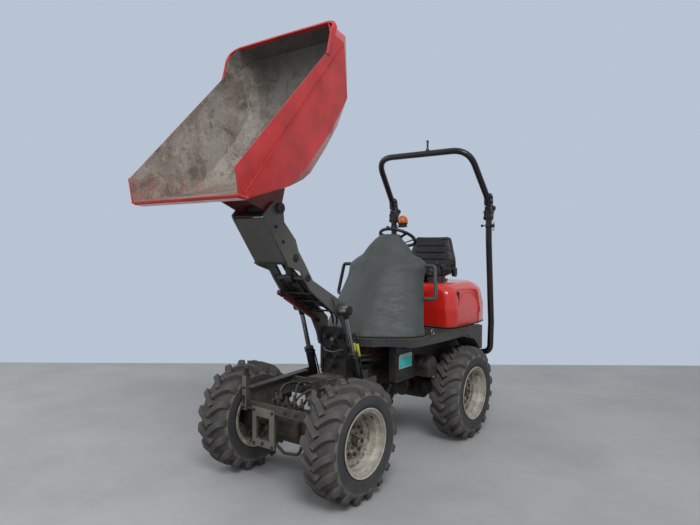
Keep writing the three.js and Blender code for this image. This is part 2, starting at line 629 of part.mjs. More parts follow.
// The cowl's skin moved in by inset; its open back is carried on by run.
function cowlForm(inset, run) {
  const foot = DECK_TOP + SEAT_GAP - (inset > 0 ? 50 : 0);
  const body = [[foot, 405, -530, [[385, -630], [340, -685], [270, -745], [190, -805], [100, -850], [0, -868]]],
    [1030, 352, -446, [[330, -520], [285, -585], [215, -650], [110, -715], [0, -740]]],
    [1270 - inset, 302, -357, [[270, -435], [205, -510], [110, -575], [0, -602]]],
    [1330 - inset, 228, -350, [[190, -425], [110, -500], [0, -535]]]];
  const hump = [[1200, 262, -372, [[250, -450], [165, -545], [0, -592]]],
    [1400 - inset, 152, -350, [[132, -412], [76, -466], [0, -491]]],
    [1487 - inset, 80, -345, [[66, -392], [0, -418]]]];
  const forms = [body, hump].map((levels) => hull(bothSides(levels.flatMap(([z, rearX, rearY, front]) => [
    [rearX - inset, rearY + run, z],
    ...front.map(([x, y]) => [Math.max(x - inset, 0), y + inset, z]),
  ]))));
  return join(...forms);
}

add('cowl', cut(cowlForm(0, 0), cowlForm(COWL_WALL, 260)), cowlPlastic);

for (const [place, side] of [['left', 1], ['right', -1]]) {
  const rail = tube([[280, -385, 1262], [392, -390, 1262], [420, -428, 1040], [330, -452, 1040]],
    HANDRAIL_RADIUS, 22, 10);
  const clipped = cut(rail, cowlForm(-MOVE_GAP, 2));
  add(`handrail_${place}`, side > 0 ? clipped : mirrored(clipped), place === 'left' ? greyPaint : blackPaint);
}

const tiltAngle = THREE.MathUtils.degToRad(STEERING_TILT);
const columnAxis = [Math.sin(tiltAngle), Math.cos(tiltAngle)];
function alongColumn(distance) {
  return [0, STEERING_HUB[0] + columnAxis[0] * distance, STEERING_HUB[1] + columnAxis[1] * distance];
}

add('steering_column',
  join(rod(alongColumn(-415), alongColumn(-20.6), 26, 16),
    rod([0, -478, DECK_TOP + 8], alongColumn(-410), 30, 16),
    box(-80, 80, -530, -420, DECK_TOP + SEAT_GAP, DECK_TOP + 14)), blackPaint);

const steeringWheel = new THREE.Group();
steeringWheel.position.set(0, ...STEERING_HUB);
steeringWheel.rotation.x = -tiltAngle;
machine.add(steeringWheel);
const wheelRing = new THREE.TorusGeometry(STEERING_RADIUS - 13, 13, 8, 32);
add('steering_wheel', join(
  solid(wheelRing),
  rod([0, 0, -20], [0, 0, 14], 34, 16),
  ...[90, 210, 330].map((angle) => {
    const a = THREE.MathUtils.degToRad(angle);
    const reach = STEERING_RADIUS - 13;
    return rod([0, 0, -2], [reach * Math.cos(a), reach * Math.sin(a), 0], 9, 8);
  }),
), blackRubber, steeringWheel);

add('engine_block', box(-ENGINE_HALF_WIDTH, ENGINE_HALF_WIDTH, ENGINE_FRONT_Y, ENGINE_REAR_Y,
  REAR_BOTTOM + 10 + SEAT_GAP, 1000), castIron);
add('battery_box', box(SIDE_PLATE_X + SIDE_PLATE / 2 + SEAT_GAP, 305, -735, -505, 512, 738), blackPaint);
add('hydraulic_tank',
  box(-400, -SIDE_PLATE_X - SIDE_PLATE / 2 - SEAT_GAP, -660, -380, 505, 742), greyPaint);
add('filter_canister',
  crossRod([-428, 578], SIDE_PLATE_X + SIDE_PLATE / 2 + SEAT_GAP, 395, 72, 24), blackPaint);

// ---------------------------------------------------------------- engine hood and seat
function hoodForm(inset, lift) {
  const foot = DECK_TOP + MOVE_GAP - lift;
  const levels = [[foot, 398, 2, [[398, 300], [372, 440], [310, 548], [180, 600], [0, 612]]],
    [940, 400, 0, [[400, 310], [374, 446], [312, 552], [180, 602], [0, 614]]],
    [1070 - inset, 380, 8, [[380, 320], [352, 430], [288, 525], [160, 575], [0, 586]]],
    [1125 - inset, 312, 40, [[312, 300], [286, 395], [212, 480], [0, 512]]]];
  return hull(bothSides(levels.flatMap(([z, x, back, rear]) => [
    ...[[x, 75], [x - 8, 45], [x - 30, 16], [x - 62, 3], [0, 0]].map(([frontX, dy]) => [
      Math.max(frontX - inset, 0), HOOD_FRONT_Y + back + dy + inset, z]),
    ...rear.map(([rearX, rearY]) => [Math.max(rearX - inset, 0), rearY - inset, z]),
  ])));
}

add('engine_hood', cut(hoodForm(0, 0), hoodForm(HOOD_WALL, 60)), redPaint);

const seatFoot = 1125 + SEAT_GAP;
add('seat_base', join(
  box(-150, 150, -60, 250, seatFoot, seatFoot + 14),
  box(-140, -110, -50, 240, seatFoot, seatFoot + 44),
  box(110, 140, -50, 240, seatFoot, seatFoot + 44),
), blackPaint);
const cushionFoot = seatFoot + 44 + SEAT_GAP;
add('seat_cushion', hull(bothSides([
  [205, -110, cushionFoot], [205, 215, cushionFoot], [225, -90, cushionFoot + 50], [225, 215, cushionFoot + 50],
  [150, -120, cushionFoot + 20], [190, -95, cushionFoot + 88], [190, 200, cushionFoot + 72],
])), seatVinyl);
add('seat_backrest', hull(bothSides([
  [215, 215.5, cushionFoot + 10], [215, 290, cushionFoot + 10], [222, 235, 1300], [205, 320, 1300],
  [165, 262, 1470], [150, 270, 1486], [150, 325, 1480], [165, 320, 1465],
])), seatVinyl);

// ---------------------------------------------------------------- roll-over bar
const postY = ROPS_PIVOT[0] - ROPS_OFFSET;

function ropsPost() {
  const ears = [-1, 1].map((side) => {
    const near = ROPS_X + side * 20;
    return sidePlate([[-72, -85], [-30, -85], [14, -12], [17, 4], [8, 16], [-8, 17], [-30, 9], [-72, 9]]
      .map(([y, z]) => [ROPS_PIVOT[0] + y, ROPS_PIVOT[1] + z]), near - 4, near + 4);
  });
  const pin = crossRod(ROPS_PIVOT, ROPS_X - 24, ROPS_X + 24, 8, 12);
  const footX = SIDE_PLATE_X + SIDE_PLATE / 2 + SEAT_GAP;
  const foot = box(footX - 60, footX, 300, 520, 450, 640);
  return join(
    cut(tube([[ROPS_X, postY, ROPS_PIVOT[1] - 15], [ROPS_X, postY + 8, 1440], [ROPS_X, 445, 800],
      [ROPS_X, 432, 568], [footX - 10, 405, 536]], ROPS_TUBE_RADIUS, 60), foot),
    box(footX, footX + 10, 345, 465, REAR_BOTTOM + 2, 595),
    ...ears, pin,
  );
}

function ropsHoop() {
  const left = [[ROPS_X, postY, ROPS_PIVOT[1] + 15], [ROPS_X, postY - 12, ROPS_PIVOT[1] + 60],
    [ROPS_TOP_X, ROPS_TOP_Y, ROPS_TOP_Z]];
  const right = left.map(([x, y, z]) => [-x, y, z]).reverse();
  const tongue = cut(
    sidePlate([[-68, 60], [-68, -8], [-14, -14], [4, -16], [15, -6], [16, 6], [-20, 60]]
      .map(([y, z]) => [ROPS_PIVOT[0] + y, ROPS_PIVOT[1] + z]), ROPS_X - 14, ROPS_X + 14),
    crossRod(ROPS_PIVOT, ROPS_X - 30, ROPS_X + 30, 8 + PIN_CLEARANCE, 12),
  );
  return join(tube([...left, ...right], ROPS_TUBE_RADIUS, ROPS_BEND_RADIUS), tongue, mirrored(tongue));
}

const post = ropsPost();
add('rops_post_left', post, blackPaint);
add('rops_post_right', mirrored(post), blackPaint);
add('rops_hoop', ropsHoop(), blackPaint);

const beaconX = -(ROPS_X - 78);
const beaconY = postY + 25;
add('beacon', join(
  box(-ROPS_X + ROPS_TUBE_RADIUS + 0.5, beaconX + 20, beaconY - 18, beaconY + 18, 1560, 1566),
  rod([beaconX, beaconY, 1560], [beaconX, beaconY, 1590], 38, 20),
  rod([beaconX, beaconY, 1590], [beaconX, beaconY, 1650], 42, 20, 34),
  rod([beaconX, beaconY, 1650], [beaconX, beaconY, 1668], 34, 20, 18),
), amberLens);

// ---------------------------------------------------------------- steering cylinder
const steeringBarrelEnd = STEERING_FOOT_Y - 290;
add('steering_barrel', cut(
  join(
    rod([STEERING_EYE_X, STEERING_FOOT_Y - 12, STEERING_Z], [STEERING_EYE_X, steeringBarrelEnd, STEERING_Z], 24, 16),
    rod([STEERING_EYE_X, STEERING_FOOT_Y, STEERING_Z - 16], [STEERING_EYE_X, STEERING_FOOT_Y, STEERING_Z + 16], 24),
  ),
  rod([STEERING_EYE_X, STEERING_FOOT_Y - 60, STEERING_Z], [STEERING_EYE_X, steeringBarrelEnd - 10, STEERING_Z],
    17, 16),
  rod([STEERING_EYE_X, STEERING_FOOT_Y, STEERING_Z - 30], [STEERING_EYE_X, STEERING_FOOT_Y, STEERING_Z + 30],
    10 + PIN_CLEARANCE),
), blackPaint);
add('steering_rod', join(
  rod([STEERING_EYE_X, steeringBarrelEnd + 60, STEERING_Z], [STEERING_EYE_X, STEERING_EYE_Y, STEERING_Z], 10, 16),
  rod([STEERING_EYE_X, steeringBarrelEnd + 60, STEERING_Z], [STEERING_EYE_X, steeringBarrelEnd + 30, STEERING_Z],
    17 - PIN_CLEARANCE, 16),
  rod([STEERING_EYE_X, STEERING_EYE_Y, STEERING_Z - 17.5], [STEERING_EYE_X, STEERING_EYE_Y, STEERING_Z + 16], 20),
), chrome);

export default machine;
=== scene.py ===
import math

import bmesh
import bpy
from mathutils import Matrix, Vector
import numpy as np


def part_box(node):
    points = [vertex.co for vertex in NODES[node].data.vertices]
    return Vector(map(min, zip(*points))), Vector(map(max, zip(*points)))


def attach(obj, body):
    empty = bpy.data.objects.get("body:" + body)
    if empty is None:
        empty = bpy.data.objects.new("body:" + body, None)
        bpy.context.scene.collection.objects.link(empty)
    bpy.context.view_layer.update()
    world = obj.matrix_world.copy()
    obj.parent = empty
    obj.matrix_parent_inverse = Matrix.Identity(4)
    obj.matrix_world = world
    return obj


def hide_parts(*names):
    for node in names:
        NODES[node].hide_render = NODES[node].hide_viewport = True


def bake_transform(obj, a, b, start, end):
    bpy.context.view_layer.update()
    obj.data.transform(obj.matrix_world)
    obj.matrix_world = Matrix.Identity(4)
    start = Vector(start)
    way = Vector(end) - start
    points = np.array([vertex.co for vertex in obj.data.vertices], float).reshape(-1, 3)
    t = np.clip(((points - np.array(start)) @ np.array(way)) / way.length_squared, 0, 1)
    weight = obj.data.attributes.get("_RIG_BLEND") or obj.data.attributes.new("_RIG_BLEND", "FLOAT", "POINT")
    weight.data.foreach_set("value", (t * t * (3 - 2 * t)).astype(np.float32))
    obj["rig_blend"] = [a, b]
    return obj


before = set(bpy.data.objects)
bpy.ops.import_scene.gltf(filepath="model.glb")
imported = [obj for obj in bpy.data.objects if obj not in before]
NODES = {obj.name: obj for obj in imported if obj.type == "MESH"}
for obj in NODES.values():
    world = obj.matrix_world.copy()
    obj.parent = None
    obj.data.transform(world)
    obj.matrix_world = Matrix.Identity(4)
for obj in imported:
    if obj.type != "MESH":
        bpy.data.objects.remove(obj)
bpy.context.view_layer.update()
scene = bpy.context.scene

# The drawing's millimetres (y = 0 at the rear axle, z = 0 at the ground) to the frame's metres.
MM = 0.00113
TIP_AT_REST = 49.4
VIEW_AZIMUTH = 37.2012
WHEEL_CENTRE_Z = 332.7
LIFT_FOOT, LIFT_EYE = (-940, 400), (-1120, 1010)
TIP_FOOT = (0, -1400, 1215)
TIP_EYE_RADIUS = 0.0249
BEACON_X = -0.362 * 1.13
rear_low, rear_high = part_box("tyre_rear_left")
REAR_AXLE_Y = (rear_low.y + rear_high.y) / 2


def at(x, y, z):
    return Vector((x * MM, y * MM + REAR_AXLE_Y, z * MM))


HINGE = at(0, -1635, 1600)
SKIP_TURN = Matrix.Translation(HINGE) @ Matrix.Rotation(math.radians(TIP_AT_REST), 4, "X")


def in_skip(x, y, z):
    """A point of the level skip, from its hinge."""
    return SKIP_TURN @ (Vector((x, y, z)) * MM)


# ---------------------------------------------------------------- camera
def add_camera():
    azimuth, pitch, roll = math.radians(VIEW_AZIMUTH), math.radians(-1.7091), math.radians(0.2673)
    forward = Vector((-math.sin(azimuth) * math.cos(pitch), math.cos(azimuth) * math.cos(pitch), math.sin(pitch)))
    right = Vector((math.cos(azimuth), math.sin(azimuth), 0))
    up = right.cross(forward)
    turned_right = right * math.cos(roll) + up * math.sin(roll)
    turned_up = up * math.cos(roll) - right * math.sin(roll)
    camera = bpy.data.objects.new("camera", bpy.data.cameras.new("camera"))
    turn = Matrix((turned_right, turned_up, -forward)).transposed().to_4x4()
    camera.matrix_world = Matrix.Translation((2.6030, -3.4832, 1.5848)) @ turn
    camera.data.lens = 29.606
    camera.data.sensor_width = 36
    camera.data.clip_start = 0.05
    camera.data.clip_end = 200
    scene.collection.objects.link(camera)
    scene.camera = camera


# ---------------------------------------------------------------- materials
def srgb(red, green, blue):
    """A colour as it looks, 0 to 255, as the linear value that a shader takes."""
    return tuple(((c / 255 + 0.055) / 1.055) ** 2.4 if c > 10 else c / 3294 for c in (red, green, blue)) + (1,)


class Nodes:
    def __init__(self, name):
        self.material = bpy.data.materials.new(name)
        self.material.use_nodes = True
        self.tree = self.material.node_tree
        self.shader = self.tree.nodes["Principled BSDF"]
        coordinates = self.tree.nodes.new("ShaderNodeTexCoord")
        self.place = coordinates.outputs["Object"]
        self.normal = coordinates.outputs["Normal"]

    def put(self, socket, value):
        if isinstance(value, bpy.types.NodeSocket):
            self.tree.links.new(value, socket)
        else:
            socket.default_value = value

    def node(self, kind, out=0, settings=None, **inputs):
        node = self.tree.nodes.new("ShaderNode" + kind)
        for key, value in (settings or {}).items():
            setattr(node, key, value)
        for key, value in inputs.items():
            self.put(node.inputs[int(key[1:]) if key[1:].isdigit() else key.replace("_", " ")], value)
        return node.outputs[out]

    def noise(self, scale, detail=6.0, roughness=0.6, stretch=None, distortion=0.0):
        place = self.place
        if stretch:
            place = self.node("Mapping", _0=place, Scale=stretch)
        return self.node("TexNoise", Vector=place, Scale=scale, Detail=detail, Roughness=roughness,
                         Distortion=distortion)

    def step(self, value, low, high, to_low=0.0, to_high=1.0):
        return self.node("MapRange", settings={"interpolation_type": "SMOOTHSTEP"}, _0=value, _1=low, _2=high,
                         _3=to_low, _4=to_high)

    def maths(self, operation, a, b):
        return self.node("Math", settings={"operation": operation}, _0=a, _1=b)

    def mix(self, factor, a, b):
        return self.node("Mix", out=2, settings={"data_type": "RGBA"}, _0=factor, _6=a, _7=b)

    def part(self, vector, axis):
        return self.node("SeparateXYZ", out=axis, _0=vector)

    def attribute(self, name):
        return self.node("Attribute", out=2, settings={"attribute_name": name})

    def bump(self, height, strength, distance, normal=None):
        inputs = {"Strength": strength, "Distance": distance, "Height": height}
        if normal is not None:
            inputs["Normal"] = normal
        return self.node("Bump", **inputs)

    def done(self, colour, roughness, normal, metal=0.0, coat=0.0):
        self.put(self.shader.inputs["Base Color"], colour)
        self.put(self.shader.inputs["Roughness"], roughness)
        self.put(self.shader.inputs["Normal"], normal)
        self.put(self.shader.inputs["Metallic"], metal)
        self.shader.inputs["Coat Weight"].default_value = coat
        self.shader.inputs["Coat Roughness"].default_value = 0.12
        return self.material


def painted(name, base, other, rough, dust=(150, 140, 124), dusty=0.5, chip=(60, 48, 40), chipped=0.3, waves=0.0,
            grain=0.12, coat=0.0, low_mud=0.0, streaks=0.0, size=3.0):
    """Worn paint: two tones, scuffs, chips to a darker layer, dust on what faces up, mud near the ground."""
    n = Nodes(name)
    broad = n.noise(size, 5)
    middle = n.noise(size * 8, 8, 0.65)
    fine = n.noise(260, 4)
    colour = n.mix(n.step(broad, 0.38, 0.62), srgb(*base), srgb(*other))
    if streaks:
        runs = n.noise(7, 6, 0.7, stretch=(3.0, 3.0, 0.25))
        colour = n.mix(n.step(runs, 0.52, 0.78, 0, streaks), colour, srgb(*dust))
    scuffs = n.noise(11, 8, 0.72, stretch=(1.0, 5.0, 1.6), distortion=0.6)
    colour = n.mix(n.step(scuffs, 0.56, 0.72, 0, 0.35 * (dusty + chipped)), colour, srgb(*dust))
    chips = n.step(n.noise(34, 9, 0.75), 0.70 - 0.12 * chipped, 0.73 - 0.12 * chipped, 0, min(1, chipped * 2))
    colour = n.mix(chips, colour, srgb(*chip))
    upward = n.step(n.part(n.normal, 2), 0.15, 0.95)
    patch = n.step(middle, 0.36, 0.66)
    settled = n.maths("MULTIPLY", n.maths("ADD", n.maths("MULTIPLY", upward, 0.8), 0.2), patch)
    settled = n.maths("MULTIPLY", settled, dusty)
    colour = n.mix(settled, colour, srgb(*dust))
    if low_mud:
        low = n.step(n.part(n.place, 2), 0.95, 0.25)
        mud = n.maths("MULTIPLY", n.maths("MULTIPLY", low, n.step(middle, 0.3, 0.6)), low_mud)
        colour = n.mix(mud, colour, srgb(104, 92, 76))
        settled = n.maths("MAXIMUM", settled, mud)
    roughness = n.step(n.maths("ADD", settled, n.maths("MULTIPLY", middle, 0.5)), 0.1, 1.0, rough,
                       min(0.95, rough + 0.4))
    normal = n.bump(fine, grain, 0.0008)
    normal = n.bump(middle, 0.25 + 0.5 * dusty, 0.0012, normal)
    if waves:
        normal = n.bump(n.noise(4.5, 2, 0.4), waves, 0.02, normal)
    normal = n.bump(chips, 0.6, -0.0006, normal)
    return n.done(colour, roughness, normal, coat=coat)


def moulded(name, base, other, rough, grain_scale=420, grain=0.5, dusty=0.25):
    """Moulded plastic or rubber: fine pebble grain, faded patches and rubbed marks."""
    n = Nodes(name)
    dust = (140, 136, 126)
    broad = n.noise(2.4, 5)
    pebble = n.node("TexVoronoi", Vector=n.place, Scale=grain_scale)
    rubbed = n.noise(9, 8, 0.7, stretch=(1, 1, 3.5), distortion=0.8)
    colour = n.mix(n.step(broad, 0.35, 0.65), srgb(*base), srgb(*other))
    colour = n.mix(n.step(rubbed, 0.58, 0.75, 0, dusty), colour, srgb(*dust))
    scratch = n.noise(26, 8, 0.8, stretch=(6, 6, 0.6), distortion=0.3)
    colour = n.mix(n.step(scratch, 0.66, 0.70, 0, dusty), colour, srgb(*dust))
    upward = n.step(n.part(n.normal, 2), 0.3, 1.0, 0, dusty)
    colour = n.mix(n.maths("MULTIPLY", upward, n.step(n.noise(20, 6), 0.3, 0.65)), colour, srgb(*dust))
    roughness = n.step(rubbed, 0.3, 0.75, rough, min(0.95, rough + 0.22))
    normal = n.bump(pebble, grain, 0.0006)
    normal = n.bump(n.noise(9, 3), 0.07, 0.003, normal)
    return n.done(colour, roughness, normal)


def skip_inside():
    """Bare, scoured steel under dried spoil: grey-brown patches, dark damp stains, scratches down the floor, and
    painted shade darkening its upper back.
    """
    n = Nodes("skip_inside")
    broad = n.noise(2.6, 6, 0.6, distortion=0.5)
    middle = n.noise(11, 9, 0.7)
    colour = n.mix(n.step(broad, 0.36, 0.62), srgb(146, 140, 133), srgb(120, 111, 99))
    colour = n.mix(n.step(n.noise(6.5, 9, 0.75, distortion=0.4), 0.50, 0.62, 0, 0.7), colour, srgb(76, 71, 64))
    colour = n.mix(n.step(middle, 0.50, 0.60, 0, 0.6), colour, srgb(160, 152, 142))
    colour = n.mix(n.step(n.noise(17, 9, 0.82), 0.57, 0.66, 0, 0.75), colour, srgb(98, 80, 54))
    slide = n.noise(8, 9, 0.78, stretch=(9, 0.8, 0.8), distortion=0.25)
    colour = n.mix(n.step(slide, 0.56, 0.66, 0, 0.6), colour, srgb(176, 170, 162))
    colour = n.mix(n.step(slide, 0.44, 0.36, 0, 0.5), colour, srgb(62, 58, 54))
    dried = n.noise(48, 9, 0.82)
    colour = n.mix(n.step(dried, 0.55, 0.61, 0, 0.6), colour, srgb(54, 50, 44))
    colour = n.mix(n.step(n.noise(95, 6, 0.8), 0.62, 0.68, 0, 0.5), colour, srgb(188, 182, 172))
    height = n.part(n.place, 2)
    side = n.part(n.place, 0)
    # Painted shade: the upper back of the inside, 2.25 to 2.8 m up, is darkened to grey, about a third as much at x
    # below -0.44 m.
    high = n.maths("MULTIPLY", n.step(height, 2.25, 2.8, 0, 0.72), n.step(side, -0.44, -0.30, 0.35, 1.0))
    colour = n.mix(high, colour, srgb(52, 51, 51))
    near_lip = n.maths("MULTIPLY", n.step(height, 2.05, 1.94), n.step(n.noise(14, 8, 0.7), 0.45, 0.58, 0, 0.55))
    colour = n.mix(near_lip, colour, srgb(148, 88, 80))
    roughness = n.step(middle, 0.3, 0.7, 0.5, 0.85)
    normal = n.bump(dried, 0.8, 0.004)
    normal = n.bump(slide, 0.5, 0.003, normal)
    normal = n.bump(n.noise(5.5, 4), 0.6, 0.02, normal)
    return n.done(colour, roughness, normal, n.step(slide, 0.5, 0.8, 0.0, 0.3))


def tyre_rubber():
    """Worn rubber: mud dried in the tread, dust on the sidewall, scuffed lug faces, and sharp edges lightened by dust
    and painted highlight. mud is stored on the mesh.
    """
    n = Nodes("tyre_rubber")
    mud = n.attribute("mud")
    middle = n.noise(13, 9, 0.7)
    small = n.noise(62, 9, 0.75)
    colour = n.mix(n.step(n.noise(4, 5), 0.35, 0.65), srgb(38, 40, 44), srgb(54, 55, 57))
    amount = n.maths("MULTIPLY", mud, n.step(middle, 0.30, 0.60, 0.35, 1.0))
    colour = n.mix(amount, colour, srgb(90, 87, 82))
    colour = n.mix(n.maths("MULTIPLY", mud, n.step(small, 0.50, 0.64, 0, 0.8)), colour, srgb(60, 54, 48))
    colour = n.mix(n.step(n.noise(24, 9, 0.8), 0.60, 0.74, 0, 0.35), colour, srgb(122, 117, 108))
    # Raised, sharp edges are lightened: partly dust, partly a painted highlight.
    edge_dust_and_highlight = n.node("NewGeometry", out=7)
    colour = n.mix(n.step(edge_dust_and_highlight, 0.52, 0.60, 0, 0.45), colour, srgb(126, 120, 110))
    roughness = n.step(middle, 0.3, 0.7, 0.72, 0.95)
    normal = n.bump(small, 0.55, 0.0022)
    normal = n.bump(n.noise(330, 4), 0.25, 0.0006, normal)
    normal = n.bump(middle, 0.4, 0.004, normal)
    return n.done(colour, roughness, normal)


def rim_paint():
    """Cream wheel paint, dusty, rusting round the hub, and darkened in the corners of the dish's steps as painted
    shade. The mask for both is stored on the mesh.
    """
    n = Nodes("rim_cream")
    grime_and_step_shade = n.attribute("grime_and_step_shade")
    middle = n.noise(16, 9, 0.7)
    colour = n.mix(n.step(n.noise(5, 5), 0.35, 0.65), srgb(188, 184, 172), srgb(168, 162, 148))
    colour = n.mix(n.step(middle, 0.42, 0.62, 0, 0.7), colour, srgb(138, 130, 116))
    # The mesh's mask darkens the paint: rust and grime round the hub, and painted shade in the corners of the dish's
    # steps.
    grime = n.maths("MULTIPLY", n.step(grime_and_step_shade, 0.12, 0.75), n.step(n.noise(28, 9, 0.75), 0.28, 0.58))
    colour = n.mix(grime, colour, srgb(78, 66, 54))
    colour = n.mix(n.step(n.noise(70, 9, 0.8), 0.63, 0.67, 0, 0.9), colour, srgb(92, 62, 42))
    normal = n.bump(middle, 0.35, 0.002)
    normal = n.bump(n.noise(300, 4), 0.15, 0.0006, normal)
    return n.done(colour, n.step(middle, 0.3, 0.7, 0.42, 0.8), normal)


def bare_metal(name, base, other, rough, grime=(70, 62, 54), grimy=0.4, rust=0.0, metal=0.9):
    n = Nodes(name)
    middle = n.noise(21, 8, 0.7)
    small = n.noise(80, 8, 0.75)
    colour = n.mix(n.step(n.noise(6, 5), 0.35, 0.65), srgb(*base), srgb(*other))
    dirt = n.step(middle, 0.46, 0.64, 0, grimy)
    colour = n.mix(dirt, colour, srgb(*grime))
    rusty = n.step(small, 0.62 - 0.2 * rust, 0.72 - 0.2 * rust, 0, 0.95 if rust else 0)
    colour = n.mix(rusty, colour, srgb(124, 74, 42))
    covered = n.maths("MAXIMUM", dirt, rusty)
    roughness = n.step(covered, 0.0, 1.0, rough, 0.85)
    metallic = n.step(covered, 0.0, 1.0, metal, 0.0)
    normal = n.bump(small, 0.3 + 0.4 * rust, 0.0012)
    normal = n.bump(n.noise(240, 4), 0.2, 0.0006, normal)
    return n.done(colour, roughness, normal, metallic)


def seat_vinyl():
    n = Nodes("seat_vinyl_grain")
    grain = n.node("TexVoronoi", Vector=n.place, Scale=520)
    creases = n.noise(55, 8, 0.7, stretch=(0.5, 1, 2.2))
    colour = n.mix(n.step(n.noise(7, 5), 0.35, 0.65), srgb(9, 10, 12), srgb(15, 16, 18))
    colour = n.mix(n.step(n.noise(23, 8, 0.7), 0.58, 0.76, 0, 0.2), colour, srgb(90, 88, 84))
    normal = n.bump(grain, 0.6, 0.0005)
    normal = n.bump(creases, 0.25, 0.0012, normal)
    return n.done(colour, n.step(creases, 0.3, 0.7, 0.42, 0.62), normal)


def woven(name, base, other):
    """Webbing: fine diagonal ribs."""
    n = Nodes(name)
    rib = n.node("TexWave", settings={"bands_direction": "DIAGONAL"}, Vector=n.place, Scale=90.0, Distortion=0.3)
    colour = n.mix(n.step(rib, 0.2, 0.8), srgb(*base), srgb(*other))
    colour = n.mix(n.step(n.noise(30, 6), 0.5, 0.7, 0, 0.3), colour, srgb(120, 114, 104))
    return n.done(colour, n.step(rib, 0, 1, 0.9, 0.75), n.bump(rib, 0.5, 0.0008))


def amber_lens():
    n = Nodes("amber_lens_glow")
    swirl = n.noise(40, 4)
    colour = n.mix(n.step(swirl, 0.3, 0.7), srgb(226, 118, 24), srgb(196, 84, 14))
    colour = n.mix(n.step(n.noise(70, 8, 0.8), 0.62, 0.72, 0, 0.4), colour, srgb(96, 84, 70))
    material = n.done(colour, n.step(swirl, 0.3, 0.7, 0.14, 0.3), n.bump(swirl, 0.15, 0.001), coat=0.4)
    n.shader.inputs["Transmission Weight"].default_value = 0.25
    return material


MATERIALS = {
    "red": painted("skip_red", (186, 34, 32), (160, 22, 22), 0.28, (196, 116, 110), 0.12, (110, 30, 28), 0.3, 0.7,
                   0.08, 0.3, size=3.4, streaks=0.08),
    # A darker copy of the skip's red for the brackets and prop under the skip and arm: the darker base is painted
    # shade, and the heavier dust, chips and streaks are wear.
    "red_low": painted("dusty_red_painted_shade", (118, 25, 26), (72, 24, 24), 0.45, (100, 70, 64), 0.35, (52, 34, 30), 0.5,
                       0.25, streaks=0.15),
    "hood": painted("hood_red", (208, 34, 24), (196, 28, 20), 0.22, (200, 128, 114), 0.12, (124, 44, 34), 0.08, 0.14,
                    0.05, 0.55),
    "arm": painted("arm_olive_grey", (84, 84, 80), (72, 72, 68), 0.5, (120, 112, 94), 0.3, (92, 66, 44), 0.4,
                   0.1, low_mud=0.1, streaks=0.15),
    "frame": painted("frame_dusty", (54, 54, 53), (40, 41, 41), 0.55, (108, 102, 90), 0.5, (78, 58, 42), 0.45,
                     0.1, low_mud=0.4, streaks=0.2),
    "posts": painted("post_face", (112, 110, 98), (92, 90, 82), 0.55, (136, 130, 114), 0.35, (62, 56, 50), 0.6),
    "black": painted("black_gloss", (10, 11, 13), (16, 17, 19), 0.32, (70, 68, 68), 0.08, (60, 56, 52), 0.10,
                     coat=0.15),
    "black_low": painted("black_dusty", (17, 17, 18), (12, 12, 13), 0.46, (72, 68, 62), 0.24, (64, 48, 38), 0.3,
                         low_mud=0.4, streaks=0.15),
    "grey": painted("deck_grey", (58, 62, 62), (48, 51, 52), 0.5, (80, 70, 60), 0.5, (80, 52, 36), 0.5, 0.05,
                    streaks=0.15),
    "rail": painted("handrail_grey", (58, 64, 64), (50, 55, 55), 0.42, (100, 98, 92), 0.2, (48, 44, 42), 0.3),
    "cowl": moulded("cowl_moulded", (64, 70, 69), (58, 64, 63), 0.5, dusty=0.07),
    "rubber": moulded("black_rubber", (24, 24, 25), (34, 33, 32), 0.7, 300, 0.4, 0.25),
    "hose": moulded("hose_rubber", (12, 12, 13), (20, 20, 20), 0.5, 380, 0.35, 0.3),
    "plastic": moulded("black_plastic", (10, 10, 12), (17, 17, 19), 0.38, 340, 0.3, 0.12),
    "iron": bare_metal("cast_iron", (58, 55, 52), (46, 43, 40), 0.6, (76, 68, 58), 0.7, 0.35, 0.2),
    "rust": bare_metal("rusty_steel", (92, 68, 50), (68, 54, 44), 0.7, (54, 46, 40), 0.7, 0.35, 0.1),
    "bolts": bare_metal("dark_bolts", (66, 56, 48), (52, 45, 40), 0.6, (48, 40, 34), 0.6, 0.4, 0.4),
    "zinc": bare_metal("zinc_plated", (140, 138, 132), (116, 113, 107), 0.38, (72, 66, 60), 0.5, 0.2, 0.85),
    "chrome": bare_metal("rod_chrome", (160, 163, 166), (140, 143, 146), 0.16, (70, 66, 62), 0.4, 0.0, 0.95),
    "yellow": painted("sleeve_yellow", (214, 206, 84), (196, 186, 74), 0.5, (130, 120, 90), 0.3, (90, 84, 60), 0.4),
    "plate": painted("blank_plate", (170, 176, 174), (150, 158, 158), 0.4, (134, 130, 120), 0.3, (110, 102, 92), 0.2),
    "teal": painted("blank_sticker", (60, 190, 182), (40, 150, 150), 0.4, (130, 130, 120), 0.2, (120, 110, 96), 0.2),
    "inside": skip_inside(),
    "tyre": tyre_rubber(),
    "rim": rim_paint(),
    "vinyl": seat_vinyl(),
    "web": woven("belt_webbing", (24, 25, 27), (38, 38, 40)),
    "amber": amber_lens(),
}


# ---------------------------------------------------------------- building pieces
def spline(points, steps=8):
    """A smooth line through the points."""
    points = [Vector(p) for p in points]
    ends = [points[0] * 2 - points[1]] + points + [points[-1] * 2 - points[-2]]
    line = []
    for a, b, c, d in zip(ends, ends[1:], ends[2:], ends[3:]):
        for i in range(steps):
            t = i / steps
            line.append(0.5 * (2 * b + (c - a) * t + (2 * a - 5 * b + 4 * c - d) * t * t
                               + (3 * b - a - 3 * c + d) * t ** 3))
    return line + [points[-1]]


